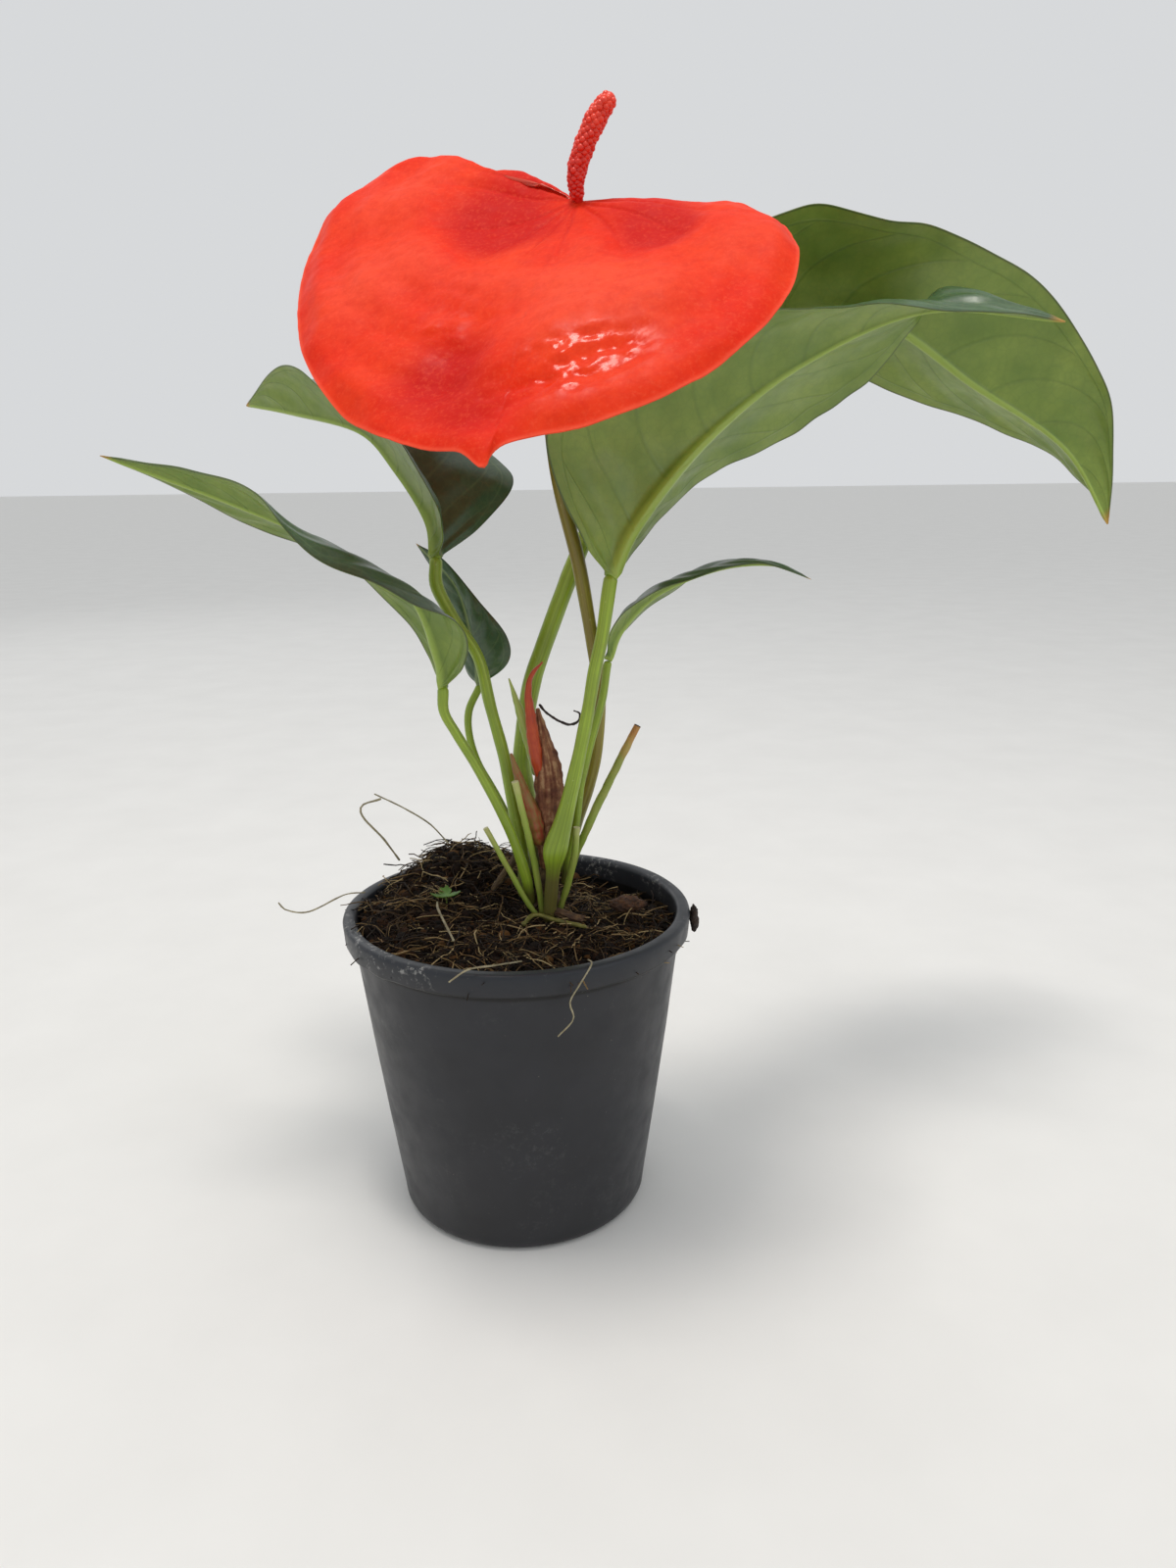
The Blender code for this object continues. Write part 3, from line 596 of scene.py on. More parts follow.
def leaf_side(name, looks, colours, gloss, raised):
    """One side of a waxy leaf: blotched green, pale midrib, side veins that join inside a dark margin."""
    light, dark, vein, rib, margin = colours
    made, tree, shader = finish(name, gloss, Subsurface_Weight=0.06, Subsurface_Scale=0.002)
    shader.inputs["Coat Weight"].default_value = 0.18
    shader.inputs["Coat Roughness"].default_value = 0.28
    at = spots(tree)
    blotches = mapped(tree, noise(tree, at, 22, 4, 0.6), 0.32, 0.68)
    colour = blend_colour(tree, blotches, shade(dark), shade(light))
    mottle = mapped(tree, noise(tree, at, 4.5, 4, 0.65), 0.35, 0.7, 0, 0.35)
    colour = blend_colour(tree, mottle, colour, shade(dark))
    phase = add(tree, "ShaderNodeMath", {0: attribute(tree, "vein_phase")}, operation="FRACT").outputs[0]
    phase = add(tree, "ShaderNodeMath", {0: phase, 1: 0.5}, operation="SUBTRACT").outputs[0]
    phase = add(tree, "ShaderNodeMath", {0: phase}, operation="ABSOLUTE").outputs[0]
    uv = add(tree, "ShaderNodeSeparateXYZ", {"Vector": add(tree, "ShaderNodeTexCoord").outputs["UV"]})
    across = add(tree, "ShaderNodeMath", {0: uv.outputs["X"], 1: 2.0, 2: -1.0}, operation="MULTIPLY_ADD")
    across = add(tree, "ShaderNodeMath", {0: across.outputs[0]}, operation="ABSOLUTE").outputs[0]
    inside = mapped(tree, across, 0.8, 0.88, 1, 0)
    side_vein = add(tree, "ShaderNodeMath", {0: mapped(tree, phase, 0.012, 0.05, 1, 0), 1: inside},
                    operation="MULTIPLY").outputs[0]
    joining = add(tree, "ShaderNodeMath", {0: across, 1: 0.86}, operation="SUBTRACT").outputs[0]
    joining = add(tree, "ShaderNodeMath", {0: joining}, operation="ABSOLUTE").outputs[0]
    veins = add(tree, "ShaderNodeMath", {0: side_vein, 1: mapped(tree, joining, 0.004, 0.016, 1, 0)},
                operation="MAXIMUM").outputs[0]
    colour = blend_colour(tree, mapped(tree, veins, 0, 1, 0, 0.26), colour, shade(vein))
    net = add(tree, "ShaderNodeTexVoronoi", {"Vector": at, "Scale": per_mm(3.4)},
              feature="DISTANCE_TO_EDGE").outputs["Distance"]
    colour = blend_colour(tree, mapped(tree, net, 0.0, 0.12, 0.14, 0), colour, shade(vein))
    colour = blend_colour(tree, mapped(tree, attribute(tree, "rib_reach"), 0.55, 1.15, 0.85, 0), colour, shade(rib))
    edge = attribute(tree, "edge_mm")
    colour = blend_colour(tree, mapped(tree, edge, 0.35, 0.9, 0.75, 0), colour, shade(margin))
    colour = blend_colour(tree, mapped(tree, uv.outputs["Y"], 0.97, 0.992, 0, 0.9), colour, "#b98a34")
    tree.links.new(colour, shader.inputs["Base Color"])
    uneven_roughness(tree, shader, at, 6, gloss - 0.05, gloss + 0.1)
    bump(tree, shader, mapped(tree, veins, 0, 1), raised * 0.5, 0.3)
    bump(tree, shader, noise(tree, at, 1.3, 3), 0.35, 0.12)
    bump(tree, shader, noise(tree, at, 7, 3), 0.5, 0.5)
    return made


def stalk_skin(name, colours, gloss=0.38, foot_share=0.12):
    """Smooth stem skin: streaked along its length, small pale specks, a darker foot."""
    light, dark, foot = colours
    made, tree, shader = finish(name, gloss, Subsurface_Weight=0.05, Subsurface_Scale=0.002)
    shader.inputs["Coat Weight"].default_value = 0.15
    at = spots(tree)
    uv = add(tree, "ShaderNodeTexCoord").outputs["UV"]
    long = add(tree, "ShaderNodeMapping", {"Vector": uv, "Scale": (14.0, 2.0, 1.0)}).outputs[0]
    streaks = add(tree, "ShaderNodeTexNoise", {"Vector": long, "Scale": 1.0, "Detail": 4.0}).outputs["Fac"]
    colour = blend_colour(tree, mapped(tree, streaks, 0.35, 0.65), shade(light), shade(dark))
    patches = mapped(tree, noise(tree, at, 13, 3), 0.4, 0.7, 0, 0.6)
    colour = blend_colour(tree, patches, colour, shade(dark))
    specks = mapped(tree, noise(tree, at, 1.2, 2), 0.68, 0.76, 0, 0.35)
    colour = blend_colour(tree, specks, colour, "#c3cf7e")
    v = add(tree, "ShaderNodeSeparateXYZ", {"Vector": uv}).outputs["Y"]
    colour = blend_colour(tree, mapped(tree, v, foot_share - 0.07, foot_share, 0.85, 0), colour, shade(foot))
    tree.links.new(colour, shader.inputs["Base Color"])
    uneven_roughness(tree, shader, at, 5, gloss - 0.04, gloss + 0.12)
    bump(tree, shader, streaks, 0.3, 0.2)
    bump(tree, shader, noise(tree, at, 1.0, 3), 0.3, 0.1)
    return made


def cut_stub_skin(name, end_tones, cut_tone):
    """A cut stalk: green below, drying towards the cut, its cut face its own tone."""
    made, tree, shader = finish(name, 0.5)
    at = spots(tree)
    v = add(tree, "ShaderNodeSeparateXYZ", {"Vector": add(tree, "ShaderNodeTexCoord").outputs["UV"]}).outputs["Y"]
    ragged = add(tree, "ShaderNodeMath", {0: noise(tree, at, 4, 3), 1: 0.12, 2: v}, operation="MULTIPLY_ADD")
    ramp = add(tree, "ShaderNodeValToRGB", {"Fac": ragged.outputs[0]},
               stops=((0.0, "#6f7a30"), (0.3, "#8fa63c"), (0.84, end_tones[0]), (0.96, end_tones[1]), (1.0, end_tones[2])))
    tan = mapped(tree, noise(tree, at, 6, 3), 0.45, 0.7, 0, 0.5)
    colour = blend_colour(tree, tan, ramp.outputs[0], "#a4a054")
    colour = blend_colour(tree, mapped(tree, v, 0.992, 0.999), colour, cut_tone)
    tree.links.new(colour, shader.inputs["Base Color"])
    bump(tree, shader, noise(tree, at, 1.1, 4), 0.5, 0.25)
    return made


def rough_skin(name, stops, size, roughness, depth, grain=0.9, bands=0.0):
    """Dry or corky growth: tones mixed at one size, with cracks and grain in its surface."""
    made, tree, shader = finish(name, roughness)
    at = spots(tree)
    clouds = noise(tree, at, size, 6, 0.68)
    if bands:
        uv = add(tree, "ShaderNodeTexCoord").outputs["UV"]
        rings = add(tree, "ShaderNodeMapping", {"Vector": uv, "Scale": (9.0, bands, 1.0)}).outputs[0]
        ribs = add(tree, "ShaderNodeTexNoise", {"Vector": rings, "Scale": 1.0, "Detail": 5.0}).outputs["Fac"]
        clouds = add(tree, "ShaderNodeMath", {0: clouds, 1: ribs}, operation="ADD").outputs[0]
        clouds = add(tree, "ShaderNodeMath", {0: clouds, 1: 0.5}, operation="MULTIPLY").outputs[0]
        bump(tree, shader, ribs, 0.6, depth)
    ramp = add(tree, "ShaderNodeValToRGB", {"Fac": clouds}, stops=stops)
    tree.links.new(ramp.outputs[0], shader.inputs["Base Color"])
    uneven_roughness(tree, shader, at, size, roughness - 0.12, roughness + 0.08)
    bump(tree, shader, noise(tree, at, grain, 5, 0.7), 0.7, depth)
    return made


def spathe_wax(looks):
    """Waxy bract: scarlet, deeper in the veins; a deep red in the bowls that is partly its own and partly painted
    shade, a coral on the swells that is partly its own and partly painted sheen, a painted highlight along the edge,
    all under a glossy skin.
    """
    made, tree, shader = finish("waxy spathe", 0.4, Subsurface_Weight=0.04, Subsurface_Scale=0.003)
    shader.inputs["Specular IOR Level"].default_value = 0.13
    at = spots(tree)
    height = attribute(tree, "swell")
    clouds = mapped(tree, noise(tree, at, 26, 3), 0.35, 0.65)
    colour = blend_colour(tree, clouds, shade(looks.spathe_colour), "#e63a14")
    # Partly painted sheen: the "swell" tone lightens the raised parts and the ridge ring to coral, over the bract's
    # own paler patches.
    colour = blend_colour(tree, mapped(tree, height, 0.2, 2.6, 0, 0.8), colour, shade(looks.spathe_coral_and_sheen))
    # Partly painted shade: the "swell" tone deepens the red in the bowls and round the stalk, over the bract's own
    # deeper red.
    colour = blend_colour(tree, mapped(tree, height, -2.4, -0.2, 0.95, 0), colour, shade(looks.spathe_deep_red_and_shade))
    vein = attribute(tree, "vein_mm")
    colour = blend_colour(tree, mapped(tree, vein, 0.1, 1.3, 0.45, 0), colour, shade(looks.spathe_deep_red_and_shade))
    mottle = mapped(tree, noise(tree, at, 3.5, 5, 0.68), 0.42, 0.72, 0, 0.35)
    colour = blend_colour(tree, mottle, colour, shade(looks.spathe_deep_red_and_shade))
    grains = mapped(tree, noise(tree, at, 1.2, 3, 0.7), 0.5, 0.72, 0, 0.3)
    colour = blend_colour(tree, grains, colour, "#f05a38")
    # Painted highlight: a paler coral rim along the margin, where its rounded edge catches the light.
    edge = attribute(tree, "edge_mm")
    colour = blend_colour(tree, mapped(tree, edge, 0.4, 1.3, 0.5, 0), colour, "#ee5a3c")
    tree.links.new(colour, shader.inputs["Base Color"])
    dull = mapped(tree, noise(tree, at, 5), 0.3, 0.7, 0.56, 0.68)
    shine = mapped(tree, attribute(tree, "gloss"), 0.12, 0.6, 0.0, 0.44)
    tree.links.new(add(tree, "ShaderNodeMath", {0: dull, 1: shine}, operation="SUBTRACT").outputs[0],
                   shader.inputs["Roughness"])
    cells = add(tree, "ShaderNodeTexVoronoi", {"Vector": at, "Scale": per_mm(1.3), "Randomness": 1.0})
    bump(tree, shader, cells.outputs["Distance"], 0.2, 0.12)
    bump(tree, shader, noise(tree, at, 4.5, 4), 0.25, 0.3)
    return made


def spathe_back(looks):
    """The bract's back: the same wax, flatter and more orange."""
    made, tree, shader = finish("waxy spathe back", 0.38, Subsurface_Weight=0.05, Subsurface_Scale=0.003)
    shader.inputs["Coat Weight"].default_value = 0.15
    at = spots(tree)
    clouds = mapped(tree, noise(tree, at, 18, 4), 0.35, 0.65)
    colour = blend_colour(tree, clouds, "#d2381f", "#e3573a")
    colour = blend_colour(tree, mapped(tree, attribute(tree, "vein_mm"), 0.3, 1.4, 0.5, 0), colour, "#b42a16")
    tree.links.new(colour, shader.inputs["Base Color"])
    uneven_roughness(tree, shader, at, 5, 0.34, 0.5)
    bump(tree, shader, noise(tree, at, 4, 4), 0.4, 0.5)
    return made


def spadix_skin(looks):
    """Packed florets: satin red, lighter and pinker towards the tip, pale dots on the bumps."""
    made, tree, shader = finish("fleshy spadix", 0.36, Subsurface_Weight=0.08, Subsurface_Scale=0.002)
    at = spots(tree)
    z = add(tree, "ShaderNodeSeparateXYZ", {"Vector": at}).outputs["Z"]
    up = mapped(tree, z, 0.352, 0.376)
    colour = blend_colour(tree, up, shade(looks.spadix_colour), "#ea4228")
    colour = blend_colour(tree, mapped(tree, attribute(tree, "crest"), 0.5, 1.0, 0, 0.3), colour, "#ee4a2e")
    colour = blend_colour(tree, mapped(tree, noise(tree, at, 3, 3), 0.4, 0.7, 0, 0.5), colour, "#c2150c")
    tree.links.new(colour, shader.inputs["Base Color"])
    uneven_roughness(tree, shader, at, 2, 0.3, 0.48)
    bump(tree, shader, noise(tree, at, 0.8, 3), 0.3, 0.1)
    return made


def studio_paper():
    """Matt backdrop paper: near white, with a faint tooth."""
    made, tree, shader = finish("matt paper floor", 0.9)
    at = spots(tree)
    colour = blend_colour(tree, mapped(tree, noise(tree, at, 60, 4), 0.3, 0.7), "#e2e1de", "#e6e5e2")
    tree.links.new(colour, shader.inputs["Base Color"])
    bump(tree, shader, noise(tree, at, 0.9, 2), 0.15, 0.05)
    return made


# -------------------------------------------------------------------- pieces

def run_tree(name, source, tree, values):
    """Run a node tree on a source mesh and keep the result as a plain mesh piece."""
    modifier = source.modifiers.new(tree.name, "NODES")
    modifier.node_group = tree
    for item in tree.interface.items_tree:
        if item.item_type == "SOCKET" and item.in_out == "INPUT" and item.name in values:
            modifier[item.identifier] = values[item.name]
    graph = bpy.context.evaluated_depsgraph_get()
    data = bpy.data.meshes.new_from_object(source.evaluated_get(graph), preserve_all_data_layers=True,
                                           depsgraph=graph)
    data.name = name
    source.modifiers.remove(modifier)
    bpy.data.objects.remove(source, do_unlink=True)
    piece = bpy.data.objects.new(name, data)
    bpy.context.scene.collection.objects.link(piece)
    return piece


def new_tree(name, inputs):
    """A geometry node tree with named inputs; returns it with its input and output nodes."""
    tree = bpy.data.node_groups.new(name, "GeometryNodeTree")
    tree.interface.new_socket("Geometry", in_out="INPUT", socket_type="NodeSocketGeometry")
    tree.interface.new_socket("Geometry", in_out="OUTPUT", socket_type="NodeSocketGeometry")
    for label, kind in inputs:
        tree.interface.new_socket(label, in_out="INPUT", socket_type="NodeSocket" + kind)
    return tree, add(tree, "NodeGroupInput"), add(tree, "NodeGroupOutput")


def make_pot(looks):
    taper = (BODY_TOP_RADIUS - BODY_FOOT_RADIUS) / (POT_HEIGHT - RIM_DEPTH - FOOT_ROUNDING)
    lip = POT_HEIGHT - RIM_DEPTH
    inner_top = BODY_TOP_RADIUS - WALL
    skirt_inside = RIM_RADIUS - RIM_WALL
    profile = [
        (14, FLOOR), (28, FLOOR), (BODY_FOOT_RADIUS - 4.5, FLOOR), (BODY_FOOT_RADIUS - WALL - 0.6, FLOOR + 1.4),
        (BODY_FOOT_RADIUS - WALL + taper * 2, FOOT_ROUNDING + 2), ((BODY_FOOT_RADIUS + inner_top - WALL) / 2, 55),
        (inner_top, lip),
        (inner_top + 0.2, POT_HEIGHT - 2.0), (inner_top + 0.5, POT_HEIGHT - 0.9), (inner_top + 1.1, POT_HEIGHT - 0.2),
        (inner_top + 2.0, POT_HEIGHT), (RIM_RADIUS - 1.6, POT_HEIGHT), (RIM_RADIUS - 0.9, POT_HEIGHT - 0.2),
        (RIM_RADIUS - 0.3, POT_HEIGHT - 0.7), (RIM_RADIUS, POT_HEIGHT - 1.6), (RIM_RADIUS - 0.25, POT_HEIGHT - 4.5),
        (RIM_RADIUS - 0.5, lip + 0.7), (RIM_RADIUS - 0.75, lip + 0.15), (RIM_RADIUS - 1.1, lip),
        (skirt_inside - 0.6, lip + 0.2), (skirt_inside, POT_HEIGHT - 2.6), (BODY_TOP_RADIUS + 0.4, POT_HEIGHT - 2.8),
        (BODY_TOP_RADIUS, lip + 1.0), (BODY_TOP_RADIUS - 0.25, lip - 1), ((BODY_TOP_RADIUS * 2 + BODY_FOOT_RADIUS) / 3, 70),
        ((BODY_TOP_RADIUS + 2 * BODY_FOOT_RADIUS) / 3, 37), (BODY_FOOT_RADIUS + 0.3, FOOT_ROUNDING + 2.5),
        (BODY_FOOT_RADIUS, FOOT_ROUNDING), (BODY_FOOT_RADIUS - 0.2, 3.0), (BODY_FOOT_RADIUS - 0.8, 1.7),
        (BODY_FOOT_RADIUS - 1.8, 0.7), (BODY_FOOT_RADIUS - 3.0, 0.2), (BODY_FOOT_RADIUS - 4.2, 0), (28, 0), (14, 0),
    ]
    angle = np.linspace(0, 2 * math.pi, POT_SEGMENTS, endpoint=False)
    rows = []
    for radius, z in profile:
        ring = np.stack([radius * np.cos(angle), radius * np.sin(angle), np.full(POT_SEGMENTS, float(z))], axis=1)
        loose = smoothstep(30, POT_HEIGHT, z)
        ring[:, :2] *= (1 + 0.0035 * loose * ripple(ring, 70, 21))[:, None]
        if lip - 0.5 < z < POT_HEIGHT - 3.5 and radius > BODY_TOP_RADIUS + 1:
            ring[:, 2] += 0.22 * ripple(ring, 14, 22)
        rows.append(ring)
    centre_in, centre_out = (0, 0, FLOOR), (0, 0, 0)
    points = np.vstack([*rows, [centre_in], [centre_out]])
    faces = grid_quads(len(rows), POT_SEGMENTS, closed=True)
    low = len(rows) * POT_SEGMENTS
    last = (len(rows) - 1) * POT_SEGMENTS
    for k in range(POT_SEGMENTS):
        n = (k + 1) % POT_SEGMENTS
        faces.append((low, n, k))
        faces.append((low + 1, last + k, last + n))
    plastic = pot_plastic(looks)
    pot = mesh_piece("nursery_pot", points, faces, [plastic], sharp=math.radians(50))
    bm = bmesh.new()
    bm.from_mesh(pot.data)
    bmesh.ops.recalc_face_normals(bm, faces=bm.faces)
    bm.to_mesh(pot.data)
    bm.clear()
    for k in range(DRAIN_HOLES):
        turn = 2 * math.pi * (k + 0.5) / DRAIN_HOLES
        spot = Matrix.Translation((DRAIN_CIRCLE_RADIUS * math.cos(turn) * MM,
                                   DRAIN_CIRCLE_RADIUS * math.sin(turn) * MM, FLOOR / 2 * MM))
        bmesh.ops.create_cone(bm, cap_ends=True, segments=40, radius1=DRAIN_HOLE_RADIUS * MM,
                              radius2=DRAIN_HOLE_RADIUS * MM, depth=DRAIN_CUT * MM, matrix=spot)
    cutter_mesh = bpy.data.meshes.new("drain_cutter")
    bm.to_mesh(cutter_mesh)
    bm.free()
    cutter = bpy.data.objects.new("drain_cutter", cutter_mesh)
    bpy.context.scene.collection.objects.link(cutter)
    drill = pot.modifiers.new("Drain holes", "BOOLEAN")
    drill.operation = "DIFFERENCE"
    drill.object = cutter
    graph = bpy.context.evaluated_depsgraph_get()
    drilled = bpy.data.meshes.new_from_object(pot.evaluated_get(graph), depsgraph=graph)
    pot.modifiers.remove(drill)
    bpy.data.objects.remove(cutter, do_unlink=True)
    pot.data = drilled
    pot.data.shade_smooth()
    pot.data.set_sharp_from_angle(angle=math.radians(50))
    stand_for(pot, "pot", "pot")


def mix_surface():
    """The mix: an uneven top, heaped at the back left, over a plain plug that fills the pot."""
    sides, rings = 220, 90
    share = np.linspace(0.0, 1.0, rings + 1)[1:]
    angle = np.linspace(0, 2 * math.pi, sides, endpoint=False)
    radius = share[:, None] * MIX_EDGE_RADIUS
    x = radius * np.cos(angle)
    y = radius * np.sin(angle)
    flat = np.stack([x, y, np.zeros_like(x)], axis=-1)
    rough = 1.1 * ripple(flat, 11, 31) + 0.55 * ripple(flat, 4.2, 32) + 0.3 * ripple(flat, 1.8, 33)
    top = np.stack([x, y, mix_height(x, y) + rough], axis=-1).reshape(-1, 3)
    shoulder = []
    bottom = FLOOR + MIX_GAP
    for ring, z in ((MIX_EDGE_RADIUS, 104.0), (MIX_BOTTOM_RADIUS + 0.9, bottom + 6), (MIX_BOTTOM_RADIUS - 2, bottom)):
        shoulder.append(np.stack([ring * np.cos(angle), ring * np.sin(angle), np.full(sides, z)], axis=1))
    middle = (0, 0, float(mix_height(0.0, 0.0)))
    points = np.vstack([top, *shoulder, [middle], [(0, 0, bottom)]])
    total = rings + len(shoulder)
    faces = grid_quads(total, sides, closed=True, flip=True)
    low = total * sides
    last = (total - 1) * sides
    for k in range(sides):
        n = (k + 1) % sides
        faces.append((low, k, n))
        faces.append((low + 1, last + n, last + k))
    return points, faces, rings * sides


def make_potting_mix(looks):
    points, faces, top_count = mix_surface()
    damp = damp_mix(looks)
    mix = mesh_piece("potting_mix_bed", points, faces, [damp], sharp=math.radians(80))
    stand_for(mix, "mix", "potting_mix")
    top_faces = [face for face in faces if max(face) < top_count]
    for name, inputs, finish_of, shape in (
            ("mix_crumbs", (1.5, 0.45, 2500), damp, "crumb"),
            ("mix_clods", (3.4, 0.5, 240), damp, "crumb"),
            ("coir_fibres", (15.0, 0.4, 1300), coir_fibre(looks), "fibre")):
        size, spread, count = inputs
        source = mesh_piece(name + "_ground", points[:top_count], top_faces, [])
        tree = scatter_tree(name, shape)
        area = math.pi * (MIX_EDGE_RADIUS * MM) ** 2
        amount = {"crumb": looks.crumb_amount, "fibre": looks.fibre_amount}[shape]
        piece = run_tree(name, source, tree, {
            "Size": size * MM, "Spread": spread, "Density": count * amount / area,
            "Seed": len(name), "Finish": finish_of})
        piece.data.shade_smooth()
        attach(piece, BODY)


def scatter_tree(name, shape):
    """Crumbs or fibres strewn over a surface, each turned, sized and bent its own way."""
    tree, given, out = new_tree(name, (("Size", "Float"), ("Spread", "Float"), ("Density", "Float"),
                                       ("Seed", "Int"), ("Finish", "Material")))
    scatter = add(tree, "GeometryNodeDistributePointsOnFaces",
                  {"Mesh": given.outputs["Geometry"], "Density": given.outputs["Density"],
                   "Seed": given.outputs["Seed"]}, distribute_method="RANDOM")
    if shape == "crumb":
        ball = add(tree, "GeometryNodeMeshIcoSphere", {"Radius": 0.5, "Subdivisions": 2})
        form = ball.outputs["Mesh"]
        lean = (math.pi, math.pi, math.pi)
    else:
        arc = add(tree, "GeometryNodeCurveQuadraticBezier",
                  {"Resolution": 9, "Start": (-0.5, 0, 0), "Middle": (0, 0.22, 0.2), "End": (0.5, 0, 0)})
        ring = add(tree, "GeometryNodeCurvePrimitiveCircle", {"Resolution": 4, "Radius": 0.011})
        swept = add(tree, "GeometryNodeCurveToMesh", {"Curve": arc.outputs[0], "Profile Curve": ring.outputs[0],
                                                      "Fill Caps": True})
        form = swept.outputs["Mesh"]
        lean = (0.5, 0.4, math.pi)
    turn = add(tree, "FunctionNodeRandomValue", {0: tuple(-a for a in lean), 1: lean, "Seed": 3},
               data_type="FLOAT_VECTOR")
    wide = add(tree, "ShaderNodeMath", {0: 1.0, 1: given.outputs["Spread"]}, operation="ADD")
    slim = add(tree, "ShaderNodeMath", {0: 1.0, 1: given.outputs["Spread"]}, operation="SUBTRACT")
    factor = add(tree, "FunctionNodeRandomValue", {2: slim.outputs[0], 3: wide.outputs[0], "Seed": 5},
                 data_type="FLOAT")
    size = add(tree, "ShaderNodeMath", {0: factor.outputs[1], 1: given.outputs["Size"]}, operation="MULTIPLY")
    placed = add(tree, "GeometryNodeInstanceOnPoints",
                 {"Points": scatter.outputs["Points"], "Instance": form, "Rotation": turn.outputs[0],
                  "Scale": size.outputs[0]})
    tone = add(tree, "FunctionNodeRandomValue", {2: 0.01, 3: 1.0, "Seed": 9}, data_type="FLOAT")
    toned = add(tree, "GeometryNodeStoreNamedAttribute",
                {"Geometry": placed.outputs[0], "Name": "tone", "Value": tone.outputs[1]},
                data_type="FLOAT", domain="INSTANCE")
    real = add(tree, "GeometryNodeRealizeInstances", {"Geometry": toned.outputs[0]})
    grain = 2.2 if shape == "crumb" else 9.0
    reach = 1.1 if shape == "crumb" else 5.0
    rough = add(tree, "ShaderNodeTexNoise", {"Scale": per_mm(grain), "Detail": 2.0})
    centred = add(tree, "ShaderNodeVectorMath", {0: rough.outputs["Color"], 1: (0.5, 0.5, 0.42)},
                  operation="SUBTRACT")
    push = add(tree, "ShaderNodeVectorMath", {0: centred.outputs[0], "Scale": reach * MM}, operation="SCALE")
    bent = add(tree, "GeometryNodeSetPosition", {"Geometry": real.outputs[0], "Offset": push.outputs[0]})
    painted = add(tree, "GeometryNodeSetMaterial", {"Geometry": bent.outputs[0],
                                                    "Material": given.outputs["Finish"]})
    tree.links.new(painted.outputs[0], out.inputs[0])
    return tree


